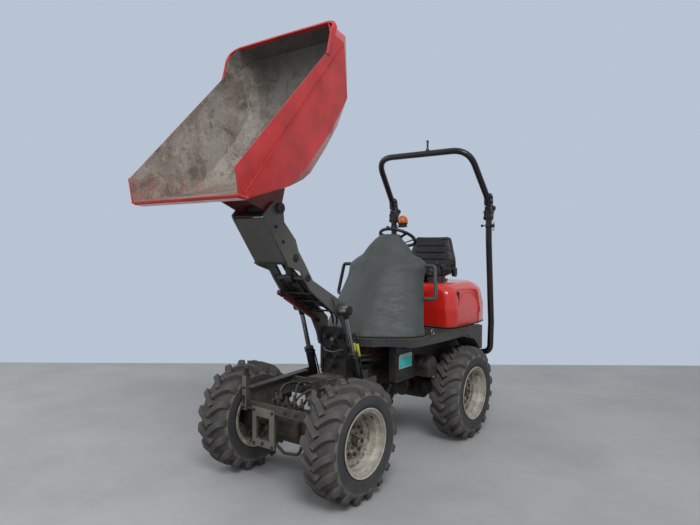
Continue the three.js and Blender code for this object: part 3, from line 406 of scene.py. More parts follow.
def bent(corners, radius):
    """Straight runs joined by round bends."""
    steps = 6
    corners = [Vector(c) for c in corners]
    line = [corners[0]]
    for before, corner, after in zip(corners, corners[1:], corners[2:]):
        back, ahead = (before - corner).normalized(), (after - corner).normalized()
        reach = radius / math.tan(back.angle(ahead) / 2)
        start, end = corner + back * reach, corner + ahead * reach
        for i in range(steps + 1):
            t = i / steps
            line.append(start * (1 - t) ** 2 + corner * 2 * t * (1 - t) + end * t * t)
    return line + [corners[-1]]


def turns(count):
    """The angles of count even steps round a circle."""
    return [2 * math.pi * k / count for k in range(count)]


def groove(distance, width):
    """1 in the middle of a groove, and near 0 beyond twice its width."""
    return math.exp(-(distance / width) ** 2)


def mesh_of(bm, name):
    """The form as a mesh with its faces turned outward."""
    bmesh.ops.recalc_face_normals(bm, faces=bm.faces)
    mesh = bpy.data.meshes.new(name)
    bm.to_mesh(mesh)
    bm.free()
    return mesh


class Piece:
    def __init__(self, name):
        self.name = name
        self.bm = bmesh.new()

    def add(self, points, faces):
        verts = [self.bm.verts.new(p) for p in points]
        for face in faces:
            self.bm.faces.new([verts[i] for i in face])
        return verts

    def rings(self, rings, closed=False):
        """Skin over rings of equally many points."""
        count = len(rings[0])
        points = [p for ring in rings for p in ring]
        faces = []
        spans = len(rings) if closed else len(rings) - 1
        for i in range(spans):
            j = (i + 1) % len(rings)
            for k in range(count):
                m = (k + 1) % count
                faces.append((i * count + k, i * count + m, j * count + m, j * count + k))
        if not closed:
            faces.append(tuple(reversed(range(count))))
            faces.append(tuple((len(rings) - 1) * count + k for k in range(count)))
        self.add(points, faces)
        return self

    def prism(self, outline, low, high, place=at, axis="x"):
        """A plate: an outline of [y, z], [x, z] or [x, y] points, carried from low to high along the axis."""
        order = {"x": lambda u, v, w: (w, u, v), "y": lambda u, v, w: (u, w, v), "z": lambda u, v, w: (u, v, w)}[axis]
        return self.rings([[place(*order(u, v, w)) for u, v in outline] for w in sorted((low, high))])

    def box(self, x0, x1, y0, y1, z0, z1):
        return self.prism([(y0, z0), (y1, z0), (y1, z1), (y0, z1)], x0, x1)

    def turned(self, start, along, profile, sides=24):
        """A turned form: [distance along, radius] points from start."""
        along = Vector(along).normalized()
        side = along.orthogonal().normalized()
        other = along.cross(side)
        rings = []
        for distance, radius in profile:
            rings.append([start + along * distance + (side * math.cos(a) + other * math.sin(a)) * max(radius, 1e-5)
                          for a in turns(sides)])
        return self.rings(rings)

    def rod(self, start, end, radius, sides=24, chamfer=0.0015):
        length = (end - start).length
        c = min(chamfer, radius / 3, length / 3)
        return self.turned(start, end - start, [(0, radius - c), (c, radius), (length - c, radius),
                                                (length, radius - c)],
                           sides)

    def tube(self, line, radius, sides=12):
        """A round bar along a line of points, with plain ends."""
        side = (line[1] - line[0]).orthogonal().normalized()
        rings = []
        for i, point in enumerate(line):
            along = (line[min(i + 1, len(line) - 1)] - line[max(i - 1, 0)]).normalized()
            side = (side - along * side.dot(along)).normalized()
            other = along.cross(side)
            r = radius[i] if isinstance(radius, list) else radius
            rings.append([point + (side * math.cos(a) + other * math.sin(a)) * r
                          for a in turns(sides)])
        return self.rings(rings)

    def bolt(self, place, out, size=0.010, washer=True):
        """A hexagon head with a washer, standing on the surface at place."""
        out = Vector(out).normalized()
        if washer:
            self.turned(place - out * 0.001, out, [(0, size * 1.35), (0.0025, size * 1.35), (0.003, size * 1.25)], 16)
        self.turned(place, out, [(0.002, size * 0.98), (0.0025, size), (0.002 + size * 0.7, size),
                                 (0.002 + size * 0.82, size * 0.86)], 6)
        return self.turned(place, out, [(0.002, size * 0.5), (0.003 + size * 0.95, size * 0.5)], 10)

    def done(self, body, material, edge=0.0012, replaces=(), slot=None, smooth=38, segments=2):
        mesh = mesh_of(self.bm, self.name)
        return settle(bpy.data.objects.new(self.name, mesh), body, material, edge, replaces, smooth, segments)


def soften(piece, width, angle, segments=2):
    """Rounds the edges that are sharper than angle."""
    bevel = piece.modifiers.new("edges", "BEVEL")
    bevel.width = width
    bevel.segments = segments
    bevel.limit_method = "ANGLE"
    bevel.angle_limit = math.radians(angle)
    bevel.harden_normals = True


def settle(piece, body, material, edge=0.0, replaces=(), smooth=38, segments=2):
    if piece.name not in scene.collection.objects:
        scene.collection.objects.link(piece)
    piece.data.materials.clear()
    for one in material if isinstance(material, (list, tuple)) else [material]:
        piece.data.materials.append(MATERIALS[one])
    piece.data.shade_smooth()
    piece.data.set_sharp_from_angle(angle=math.radians(smooth))
    if edge:
        soften(piece, edge, smooth, segments)
    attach(piece, body)
    if replaces:
        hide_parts(*replaces)
    return piece


def copy_of(node, name):
    """A new piece that starts from a CAD node's shape."""
    piece = bpy.data.objects.new(name, NODES[node].data.copy())
    bm = bmesh.new()
    bm.from_mesh(piece.data)
    bmesh.ops.remove_doubles(bm, verts=bm.verts, dist=1e-5)
    bmesh.ops.dissolve_limit(bm, angle_limit=math.radians(0.5), verts=bm.verts, edges=bm.edges)
    bm.to_mesh(piece.data)
    bm.free()
    for layer in [a.name for a in piece.data.attributes if a.name in ("custom_normal", "UVMap")]:
        piece.data.attributes.remove(piece.data.attributes[layer])
    scene.collection.objects.link(piece)
    return piece


def apply_modifiers(piece):
    bpy.context.view_layer.update()
    graph = bpy.context.evaluated_depsgraph_get()
    mesh = bpy.data.meshes.new_from_object(piece.evaluated_get(graph), depsgraph=graph)
    piece.modifiers.clear()
    piece.data = mesh
    return piece


def rounded_copy(node, name, voxel, passes, hold, keep=1.0):
    """A CAD shell as one smooth moulding: remeshed, then its edges relaxed into radii, less so near its foot."""
    piece = copy_of(node, name)
    remesh = piece.modifiers.new("remesh", "REMESH")
    remesh.mode = "VOXEL"
    remesh.voxel_size = voxel
    apply_modifiers(piece)
    free = piece.vertex_groups.new(name="free")
    foot = min(v.co.z for v in piece.data.vertices)
    for v in piece.data.vertices:
        free.add([v.index], min(1.0, (v.co.z - foot) / hold), "REPLACE")
    relax = piece.modifiers.new("relax", "SMOOTH")
    relax.factor = 0.5
    relax.iterations = passes
    relax.vertex_group = "free"
    if keep < 1:
        fewer = piece.modifiers.new("fewer", "DECIMATE")
        fewer.ratio = keep
    return apply_modifiers(piece)


def repaint(edge, smooth, **groups):
    """New finishes and softened edges for CAD nodes whose shape is right."""
    for material, names in groups.items():
        for name in names:
            node = NODES[name]
            node.data.materials.clear()
            node.data.materials.append(MATERIALS[material])
            if edge:
                soften(node, edge, smooth)


add_camera()

repaint(
    0.0018, 40,
    # The brackets and prop take the darker red, a painted-shade copy of the skip's red.
    red_low=["skip_brackets", "safety_prop"],
    arm=["lift_arm"],
    frame=["front_chassis"],
    black_low=["tower", "rear_chassis", "battery_box", "filter_canister", "steering_barrel", "hydraulic_tank"],
    black=["lift_barrel_left", "lift_barrel_right", "tip_barrel", "seat_base", "steering_column", "rops_post_left",
           "rops_post_right", "rops_hoop", "handrail_right"],
    rail=["handrail_left"],
    grey=["deck"],
    iron=["front_axle", "rear_axle", "engine_block"],
    rubber=["buffer_left", "buffer_right"],
    chrome=["lift_rod_left", "lift_rod_right", "tip_rod", "steering_rod"],
)


# ---------------------------------------------------------------- wheels
def tyre_mesh():
    """A farm-pattern tyre about the x axis at the origin: casing, and two rows of curved lugs in a V."""
    bm = bmesh.new()
    mud_layer = bm.verts.layers.float.new("mud")

    def ring_of(x, r, sides):
        return [Vector((x, -r * math.cos(a), r * math.sin(a))) for a in turns(sides)]

    half = [(0.0, 0.3440, 0.9), (0.03, 0.3436, 0.9), (0.06, 0.3415, 0.85), (0.085, 0.3370, 0.8), (0.102, 0.3290, 0.7),
            (0.1120, 0.3180, 0.6), (0.1175, 0.3060, 0.5), (0.1208, 0.2960, 0.4), (0.1224, 0.2945, 0.4),
            (0.1230, 0.2900, 0.35), (0.1220, 0.2860, 0.3), (0.1236, 0.2750, 0.25), (0.1226, 0.2580, 0.2),
            (0.1205, 0.2440, 0.15), (0.1212, 0.2415, 0.15), (0.1205, 0.2385, 0.12), (0.1180, 0.2350, 0.1),
            (0.1150, 0.2260, 0.1), (0.1118, 0.2172, 0.1), (0.1085, 0.2120, 0.1), (0.1060, 0.2020, 0.1)]
    profile = [(-x, r, m) for x, r, m in reversed(half[1:])] + half
    sides = 96
    rings = []
    for x, r, m in profile:
        ring = [bm.verts.new(p) for p in ring_of(x, r, sides)]
        for v in ring:
            v[mud_layer] = m
        rings.append(ring)
    for a, b in zip(rings, rings[1:]):
        for k in range(sides):
            j = (k + 1) % sides
            bm.faces.new((a[k], b[k], b[j], a[j]))

    lugs = 18
    crown = [(-0.007, 0.3755), (0.012, 0.3755), (0.034, 0.3752), (0.056, 0.3742), (0.076, 0.3722), (0.094, 0.3680),
             (0.107, 0.3600), (0.1165, 0.3470), (0.1225, 0.3310), (0.1247, 0.3160), (0.1249, 0.3050)]
    foot = [(-0.007, 0.334), (0.012, 0.334), (0.034, 0.334), (0.056, 0.332), (0.074, 0.329), (0.088, 0.323),
            (0.098, 0.314), (0.104, 0.305), (0.108, 0.298), (0.111, 0.292), (0.113, 0.287)]
    for side in (1, -1):
        for k in range(lugs):
            start = 2 * math.pi * (k + (0.5 if side < 0 else 0.0)) / lugs
            wander = 0.02 * math.sin(k * 2.4 + side)
            tops, feet = [], []
            for (x, r), (fx, fr) in zip(crown, foot):
                t = min(max((x + 0.007) / 0.115, 0), 1)
                run = 0.122 * (1.12 * t - 0.34 * t * t) * (1 + wander)
                angle = start + run / 0.376
                for line, lx, lr in ((tops, x, r), (feet, fx, fr)):
                    line.append(Vector((side * lx, -lr * math.cos(angle), lr * math.sin(angle))))
            sections = []
            for i, (top, base) in enumerate(zip(tops, feet)):
                along = (tops[min(i + 1, len(tops) - 1)] - tops[max(i - 1, 0)]).normalized()
                up = (top - base).normalized()
                across = along.cross(up).normalized()
                width = 0.0150 + 0.0050 * min(i / 5, 1)
                draft = 0.0070
                section = [top - across * width, top + across * width,
                           base + across * (width + draft), base - across * (width + draft)]
                verts = [bm.verts.new(p) for p in section]
                for v, m in zip(verts, (0.38, 0.38, 0.95, 0.95)):
                    v[mud_layer] = m
                sections.append(verts)
            for a, b in zip(sections, sections[1:]):
                for m in range(4):
                    n = (m + 1) % 4
                    bm.faces.new((a[m], a[n], b[n], b[m]))
            bm.faces.new(list(reversed(sections[0])))
            bm.faces.new(sections[-1])
    return mesh_of(bm, "tyre")


def rim_mesh():
    """A deep pressed wheel about the x axis at the origin, its dish facing +x, with a bolted hub."""
    bm = bmesh.new()
    grime_and_step_shade_layer = bm.verts.layers.float.new("grime_and_step_shade")
    # The third number of each point darkens the paint: rust and grime round the hub, and painted shade in the corners
    # of the dish's steps.
    front = [(0.1150, 0.2140, 0.1), (0.1190, 0.2146, 0.1), (0.1208, 0.2125, 0.1), (0.1208, 0.2085, 0.15),
             (0.1190, 0.2055, 0.25), (0.1150, 0.2035, 0.45), (0.1120, 0.1990, 0.4), (0.1105, 0.1920, 0.35),
             (0.1080, 0.1880, 0.3), (0.0900, 0.1862, 0.15), (0.0760, 0.1848, 0.15), (0.0690, 0.1800, 0.3),
             (0.0640, 0.1735, 0.45), (0.0590, 0.1705, 0.35), (0.0420, 0.1695, 0.2), (0.0270, 0.1690, 0.3),
             (0.0200, 0.1660, 0.7), (0.0150, 0.1600, 0.7), (0.0120, 0.1480, 0.45), (0.0105, 0.1300, 0.5),
             (0.0120, 0.1160, 0.6), (0.0180, 0.1110, 0.75), (0.0210, 0.1060, 0.8), (0.0210, 0.0720, 0.9),
             (0.0240, 0.0690, 0.95), (0.0250, 0.0520, 0.95), (0.0258, 0.0, 0.9)]
    back = [(-0.0012, 0.0, 0.9), (-0.0012, 0.1600, 0.8), (-0.0060, 0.1655, 0.8), (-0.0640, 0.1660, 0.7),
            (-0.0740, 0.1830, 0.6), (-0.1080, 0.1850, 0.5), (-0.1150, 0.2035, 0.5), (-0.1205, 0.2080, 0.4),
            (-0.1205, 0.2130, 0.4), (-0.1150, 0.2146, 0.4), (-0.1125, 0.2100, 0.5), (-0.1120, 0.1944, 0.5),
            (0.1120, 0.1944, 0.4), (0.1125, 0.2100, 0.3)]
    sides = 72
    rings = []
    for x, r, w in front + back:
        ring = []
        for a in turns(sides):
            v = bm.verts.new((x, -max(r, 1e-4) * math.cos(a), max(r, 1e-4) * math.sin(a)))
            v[grime_and_step_shade_layer] = w
            ring.append(v)
        rings.append(ring)
    for a, b in zip(rings, rings[1:] + rings[:1]):
        for k in range(sides):
            j = (k + 1) % sides
            bm.faces.new((a[k], a[j], b[j], b[k]))
    bmesh.ops.remove_doubles(bm, verts=bm.verts, dist=2e-5)
    return mesh_of(bm, "rim")


def add_wheels():
    tyre, rim = tyre_mesh(), rim_mesh()
    out = Vector((1, 0, 0))
    for place in ("front_left", "front_right", "rear_left", "rear_right"):
        low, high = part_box(f"tyre_{place}")
        middle = (low + high) / 2
        outward = 1 if middle.x > 0 else -1
        body = f"wheel_{place}"
        turn = Matrix.Translation(middle) @ Matrix.Rotation(0.9 * len(place) + outward, 4, "X")
        flip = Matrix.Rotation(math.pi, 4, "Z") if outward < 0 else Matrix.Identity(4)
        casing = bpy.data.objects.new(f"tread_{place}", tyre.copy())
        casing.data.transform(turn)
        settle(casing, body, "tyre", 0.0028, [f"tyre_{place}"], 30)
        wheel = bpy.data.objects.new(f"wheel_disc_{place}", rim.copy())
        wheel.data.transform(turn @ flip)
        settle(wheel, body, "rim", 0, [f"rim_{place}"], 40)
        hub = Piece(f"wheel_bolts_{place}")
        face = middle + out * outward * 0.0205
        for k in range(10):
            a = 2 * math.pi * k / 10 + outward
            hub.bolt(face + Vector((0, math.cos(a), math.sin(a))) * 0.088, out * outward, 0.0105)
        for a in turns(6):
            hub.bolt(face + Vector((0, math.cos(a), math.sin(a))) * 0.046 + out * outward * 0.004, out * outward,
                     0.006, False)
        hub.turned(face + out * outward * 0.003, out * outward,
                   [(0, 0.032), (0.010, 0.031), (0.015, 0.026), (0.017, 0.012), (0.0172, 0.0)], 24)
        valve = middle + Vector((outward * 0.062, 0.12, 0.128))
        hub.rod(valve, valve + Vector((outward * 0.03, -0.006, -0.006)), 0.0045, 10)
        hub.done(body, "bolts", 0.0006, slot="cast_iron")


add_wheels()


# ---------------------------------------------------------------- skip
def add_skip():
    shell = copy_of("skip", "skip_shell")
    bm = bmesh.new()
    bm.from_mesh(shell.data)
    middle = sum((v.co for v in bm.verts), Vector()) / len(bm.verts)
    for face in bm.faces:
        outward = (face.calc_center_median() - middle).dot(face.normal) > 0
        face.material_index = 0 if outward else 1
    bends = [e for e in bm.edges if len(e.link_faces) == 2 and all(f.material_index for f in e.link_faces)
             and e.calc_face_angle() > math.radians(4)]
    bmesh.ops.bevel(bm, geom=bends, offset=0.034, segments=5, profile=0.5, affect="EDGES", clamp_overlap=True,
                    material=1)
    bm.to_mesh(shell.data)
    bm.free()
    indices = [p.material_index for p in shell.data.polygons]
    settle(shell, "skip", ["red", "inside"], 0.003, ["skip"], 24, 2)
    for polygon, index in zip(shell.data.polygons, indices):
        polygon.material_index = index


add_skip()


# ---------------------------------------------------------------- cowl and hood
def add_cowl():
    cowl = rounded_copy("cowl", "cowl_moulding", 0.008, 110, 0.10)
    for v in cowl.data.vertices:
        height = v.co.z / MM
        hump = groove(height - 1385, 95) + 0.5 * groove(height - 1270, 60)
        v.co.x *= 1 + 0.17 * hump * (1 if v.co.y < at(0, -300, 0).y else 0)
        if v.co.z > at(0, 0, 1130).z:
            rise = min((v.co.z - at(0, 0, 1130).z) / 0.12, 1)
            v.co.y += 0.012 * rise * groove(v.co.x + 0.075 + 0.10 * (v.co.z - 1.5), 0.013)
    settle(cowl, "rear_body", "cowl", 0, ["cowl"], 60)


add_cowl()


def add_hood():
    hood = rounded_copy("engine_hood", "hood_moulding", 0.0085, 70, 0.08, 0.6)
    return settle(hood, "hood", "hood", 0, ["engine_hood"], 60)


hood = add_hood()


# ---------------------------------------------------------------- seat
def stuffed(node, name, voxel, inset):
    """A CAD cushion's form, blown up like foam under a cover."""
    piece = copy_of(node, name)
    low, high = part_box(node)
    middle = (low + high) / 2
    for v in piece.data.vertices:
        v.co = middle + (v.co - middle) * inset
    remesh = piece.modifiers.new("remesh", "REMESH")
    remesh.mode = "VOXEL"
    remesh.voxel_size = voxel
    relax = piece.modifiers.new("relax", "SMOOTH")
    relax.iterations = 12
    apply_modifiers(piece)
    before = [v.co.copy() for v in piece.data.vertices]
    fill = piece.modifiers.new("fill", "CLOTH")
    fill.settings.use_pressure = True
    fill.settings.uniform_pressure_force = 4
    fill.settings.effector_weights.gravity = 0
    for number in range(1, 21):
        scene.frame_set(number)
    apply_modifiers(piece)
    scene.frame_set(1)
    for v, start in zip(piece.data.vertices, before):
        move = v.co - start
        if move.length > 0.010:
            v.co = start + move * (0.010 / move.length)
    return piece


def finish_cushion(piece, node, dent):
    """Sinks seams and ribs into a cushion, divides it once and hands it over."""
    divide = piece.modifiers.new("divide", "SUBSURF")
    divide.levels = 1
    divide.render_levels = 1
    apply_modifiers(piece)
    normals = [v.normal.copy() for v in piece.data.vertices]
    for v, normal in zip(piece.data.vertices, normals):
        v.co -= normal * dent(v.co / MM - Vector((0, REAR_AXLE_Y / MM, 0)), normal)
    settle(piece, "hood", "vinyl", 0, [node], 80)


def add_seat():
    def back_dent(p, normal):
        front = max(0.0, -normal.y)
        inside = 1 / (1 + math.exp((abs(p.x) - 132) / 6)) / (1 + math.exp((p.z - 1448) / 6))
        ribs = sum(groove(p.z - z, 5) for z in (1236, 1290, 1344, 1398)) * inside
        border = groove(abs(p.x) - 138, 5) * (p.z < 1452) + groove(p.z - 1450, 5) * (abs(p.x) < 138)
        belly = 0.012 * inside
        shell = 0.003 * groove(normal.y - 0.35, 0.10)
        return front * (0.0065 * ribs + 0.006 * border + belly * 0.35) + shell

    def seat_dent(p, normal):
        up = max(0.0, normal.z)
        inside = 1 / (1 + math.exp((abs(p.x) - 130) / 6))
        ribs = sum(groove(p.y - y, 5) for y in (-40, 20, 80, 140)) * inside
        border = groove(abs(p.x) - 138, 5)
        return up * (0.006 * ribs + 0.006 * border + 0.007 * inside) + 0.003 * groove(p.z - 1202, 4) * (1 - up)

    finish_cushion(stuffed("seat_backrest", "seat_back_pad", 0.0075, 0.97), "seat_backrest", back_dent)
    finish_cushion(stuffed("seat_cushion", "seat_pad", 0.0075, 0.97), "seat_cushion", seat_dent)
    frame_piece = Piece("seat_runners")
    for side in (-1, 1):
        frame_piece.box(side * 150, side * 164, -70, 235, 1131, 1143)
        frame_piece.box(side * 176, side * 188, 120, 250, 1176, 1222)
        frame_piece.bolt(at(side * 189, 150, 1200), (side, 0, 0), 0.008)
        frame_piece.bolt(at(side * 189, 215, 1200), (side, 0, 0), 0.008)
    frame_piece.tube(bent([at(-130, -62, 1150), at(-130, -95, 1156), at(130, -95, 1156), at(130, -62, 1150)], 0.02),
                     0.006, 8)
    frame_piece.done("hood", "black", 0.0012, slot="black_paint")
    buckle = Piece("belt_retractor")
    buckle.prism([(176, 1165), (212, 1160), (226, 1186), (222, 1228), (196, 1240), (176, 1222)], 226, 252)
    buckle.turned(at(238, 200, 1240), (0.1, -0.2, 1), [(0, 0.013), (0.05, 0.012), (0.056, 0.009)], 12)
    buckle.box(-250, -232, 150, 200, 1165, 1205)
    buckle.prism([(-64, 1196), (-40, 1196), (-34, 1262), (-58, 1262)], -246, -234)
    buckle.done("hood", "plastic", 0.004, slot="black_paint", segments=3)
    web = Piece("belt_webbing")
    line = [at(240, y, z) for y, z in ((198, 1288), (150, 1300), (60, 1262), (-10, 1235), (-60, 1205))]
    rings = []
    for point in spline(line, 6):
        rings.append([point + Vector((dx, dy, 0)) for dx, dy in ((-0.0012, -0.022), (0.0012, -0.022), (0.0012, 0.022),
                                                                  (-0.0012, 0.022))])
    web.rings(rings)
    web.done("hood", "web", 0.0004, slot="seat_vinyl")


add_seat()


# ---------------------------------------------------------------- controls and beacon
HUB = at(0, -250, 1462)
COLUMN = Vector((0, math.sin(math.radians(27)), math.cos(math.radians(27))))


def add_controls():
    wheel = Piece("steering_wheel_grip")
    across = Vector((1, 0, 0))
    other = COLUMN.cross(across)
    rings = []
    for a in turns(72):
        out = across * math.cos(a) + other * math.sin(a)
        grip = 0.0132 + 0.0008 * math.cos(a * 24)
        rings.append([HUB + out * (0.1505 + grip * math.cos(b)) + COLUMN * grip * math.sin(b)
                      for b in turns(14)])
    wheel.rings(rings, closed=True)
    for angle in (90, 210, 330):
        a = math.radians(angle)
        out = across * math.cos(a) + other * math.sin(a)
        side = COLUMN.cross(out)
        rings = []
        for t, half, thick, sink in ((0.028, 0.021, 0.007, 0.006), (0.06, 0.015, 0.006, 0.009),
                                     (0.10, 0.012, 0.005, 0.006),
                                     (0.143, 0.016, 0.005, 0.0)):
            middle = HUB + out * t - COLUMN * sink
            rings.append([middle + side * half * math.cos(b) + COLUMN * thick * math.sin(b)
                          for b in turns(12)])
        wheel.rings(rings)
    wheel.turned(HUB - COLUMN * 0.022, COLUMN, [(0, 0.03), (0.006, 0.036), (0.022, 0.039), (0.034, 0.036),
                                                (0.038, 0.028),
                                                (0.040, 0.026), (0.041, 0.0)], 28)
    wheel.done("steering_wheel", "plastic", 0.0008, ["steering_wheel"], "black_paint", 50)
    boot = Piece("column_boot")
    low = HUB - COLUMN * 0.45
    boot.turned(low, COLUMN, [(0, 0.048), (0.012, 0.050), (0.020, 0.041), (0.032, 0.046), (0.042, 0.038),
                              (0.054, 0.042),
                              (0.064, 0.035), (0.076, 0.038), (0.084, 0.032)], 24)
    boot.turned(HUB - COLUMN * 0.10, COLUMN, [(0, 0.031), (0.004, 0.038), (0.05, 0.040), (0.058, 0.034)], 24)
    boot.rod(HUB - COLUMN * 0.07 + Vector((0.03, 0, 0)), HUB - COLUMN * 0.045 + Vector((0.16, 0.0, 0.02)), 0.005, 10)
    boot.turned(HUB - COLUMN * 0.045 + Vector((0.155, 0.0, 0.02)), (1, 0, 0.15),
                [(0, 0.008), (0.01, 0.012), (0.03, 0.012),
                                                                             (0.036, 0.006)], 14)
    boot.done("rear_body", "rubber", 0.0006, slot="black_paint")
    pedals = Piece("pedals")
    for x, y, wide in ((-110, -560, 42), (120, -560, 50), (200, -545, 30)):
        place = [(y - 26, 846), (y - 20, 838), (y + 30, 892), (y + 24, 900)]
        pedals.prism(place, x - wide / 2, x + wide / 2)
        for k in range(4):
            dy = 8 + 11 * k
            pedals.prism([(y - 26 + dy, 846 + dy * 1.08), (y - 23 + dy, 849 + dy * 1.08),
                          (y - 26 + dy, 852 + dy * 1.08)],
                         x - wide / 2 + 4, x + wide / 2 - 4)
        pedals.rod(at(x, y - 2, 866), at(x, y - 4, 802), 0.006, 8)
    pedals.done("rear_body", "black", 0.0015, slot="black_paint")
    levers = Piece("control_levers")
    for x, y, tall in ((232, -60, 160), (262, -40, 140)):
        foot = at(x, y, 1112)
        top = foot + Vector((0.01, -0.03, tall / 1000))
        levers.tube(spline([foot, foot + Vector((0, 0, 0.06)), top]), 0.0055, 10)
        levers.turned(top - Vector((0, 0, 0.012)), (0.05, -0.2, 1),
                      [(0, 0.008), (0.008, 0.016), (0.03, 0.018), (0.045, 0.012),
                                                                     (0.05, 0.004)], 16)
        levers.turned(foot - Vector((0, 0, 0.02)), (0, 0, 1),
                      [(0, 0.026), (0.02, 0.024), (0.03, 0.014), (0.045, 0.009)], 16)
    levers.done("hood", "plastic", 0.0006, slot="black_paint")

    low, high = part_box("beacon")
    middle = Vector((BEACON_X, (low.y + high.y) / 2, 0))
    lens = Piece("beacon_lens")
    rings = []
    for z, r in ((0.040, 0.0445), (0.044, 0.0480), (0.062, 0.0485), (0.080, 0.0455), (0.096, 0.0380), (0.108, 0.0268),
                 (0.1155, 0.0122), (0.117, 0.0010)):
        rings.append([middle + Vector(((r + 0.0007 * math.cos(20 * a)) * math.cos(a),
                                       (r + 0.0007 * math.cos(20 * a)) * math.sin(a), low.z + z))
                      for a in turns(80)])
    lens.rings(rings)
    lens.done("rear_body", "amber", 0, ["beacon"], "amber", 60)
    base = Piece("beacon_base")
    base.turned(middle + Vector((0, 0, low.z + 0.002)), (0, 0, 1),
                [(0, 0.032), (0.004, 0.042), (0.012, 0.0435), (0.016, 0.0405),
                                                               (0.030, 0.0410), (0.033, 0.0490), (0.041, 0.0490),
                                                               (0.043, 0.0440)], 36)
    base.prism([(-0.436, 0.376), (-0.372, 0.376), (-0.346, 0.388), (-0.346, 0.412), (-0.372, 0.424), (-0.436, 0.424)],
               1.560, 1.5655, lambda x, y, z: at(x * 1000, y * 1000, z * 1000), "z")
    base.tube(bent([at(-418, 372, 1540), at(-418, 372, 1578), at(-396, 384, 1578)], 0.008), 0.004, 8)
    base.done("rear_body", "plastic", 0.001, slot="black_paint")


add_controls()


# ---------------------------------------------------------------- hoses
CRIMPS = {body: Piece(f"hose_ends_{body}") for body in ("front_body", "rear_body", "lift_arm")}


def hose(name, points, body, radius=0.0075, to=None):
    """A hose, with a crimped end on each body that it leaves or reaches. to is the second body, across a joint."""
    line = spline(points, 10)
    piece = Piece(name)
    piece.tube(line, radius, 12)
    for end, tip, along in ((body, line[0], line[1] - line[0]), (to or body, line[-1], line[-2] - line[-1])):
        CRIMPS[end].turned(tip - along.normalized() * 0.004, along,
                           [(0, radius * 1.1), (0.001, radius * 1.5), (0.018, radius * 1.5), (0.020, radius * 1.12)],
                           12)
    if to:
        mesh = mesh_of(piece.bm, name)
        mesh.materials.append(MATERIALS["hose"])
        mesh.shade_smooth()
        made = bpy.data.objects.new(name, mesh)
        scene.collection.objects.link(made)
        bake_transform(made, body, to, line[0], line[-1])
    else:
        made = piece.done(body, "hose", 0, slot="black_paint", smooth=60)


def add_hoses():
    for k, x in enumerate((-62, -30, 30, 62)):
        hose(f"arm_loop_{k}", [at(x, -950, 870), at(x * 1.05, -930, 905 + 4 * k), at(x * 1.1, -950, 962),
                               at(x * 1.05, -1020, 1006), at(x, -1102, 1034)], "front_body", 0.0078, "lift_arm")
    for k, x in enumerate((-74, -16, 46)):
        hose(f"arm_run_{k}", [at(x, -1136, 1062), at(x * 1.1, -1190, 1104 + 6 * k), at(x * 1.2, -1280, 1148 + 8 * k),
                              at(x * 1.2, -1370, 1196 + 4 * k), at(x * 1.0, -1430, 1256), at(x * 0.9, -1478, 1312)],
             "lift_arm", 0.0075)
    hose("tip_feed", [at(60, -1478, 1318), at(72, -1462, 1352), at(66, -1500, 1410), at(38, -1518, 1446)], "lift_arm",
         0.007)
    for k, (side, z) in enumerate(((-1, 650), (-1, 682), (1, 646), (1, 678))):
        hose(f"waist_hose_{k}", [at(side * 70, -928, z - 30), at(side * 96, -860, z),
                                 at(side * (124 + 5 * k), -770, z + 4),
                                 at(side * (130 + 5 * k), -650, z + 6), at(side * (128 + 5 * k), -542, z + 2)],
             "front_body", 0.0085, "rear_body")
    runs = [
        [(97, -1172, 520), (132, -1230, 566), (150, -1300, 560), (118, -1380, 520), (66, -1400, 436)],
        [(97, -1172, 496), (104, -1240, 540), (86, -1310, 550), (46, -1390, 510), (18, -1402, 436)],
        [(-92, -1172, 520), (-118, -1240, 550), (-130, -1330, 540), (-96, -1398, 486), (-74, -1404, 430)],
        [(-40, -1172, 545), (-60, -1250, 556), (-20, -1330, 548), (10, -1376, 500), (-6, -1398, 436)],
    ]
    for k, run in enumerate(runs):
        hose(f"front_hose_{k}", [at(*p) for p in run], "front_body", 0.0068 if k % 2 else 0.0085)
    for side in (-1, 1):
        hose(f"lift_feed_{'left' if side > 0 else 'right'}",
             [at(side * 138, -975, 480), at(side * 146, -930, 560), at(side * 140, -925, 640),
              at(side * 112, -950, 704)],
             "front_body", 0.007)
    for body, ends in CRIMPS.items():
        ends.done(body, "zinc", 0, slot="chrome")


add_hoses()


# ---------------------------------------------------------------- tower, arm and cylinders
def pin_head(piece, place, out, radius, thick=0.010, keeper=True):
    """A pin's head, with a bolt beside it when keeper is set."""
    out = Vector(out).normalized()
    piece.turned(place, out, [(0, radius), (thick - 0.002, radius), (thick, radius - 0.003),
                              (thick + 0.001, radius * 0.35),
                              (thick - 0.002, radius * 0.30), (thick - 0.002, 0.0)], 28)
    if keeper:
        side = out.orthogonal().normalized()
        piece.bolt(place + side * (radius + 0.012) - out * 0.001, out, 0.0075)


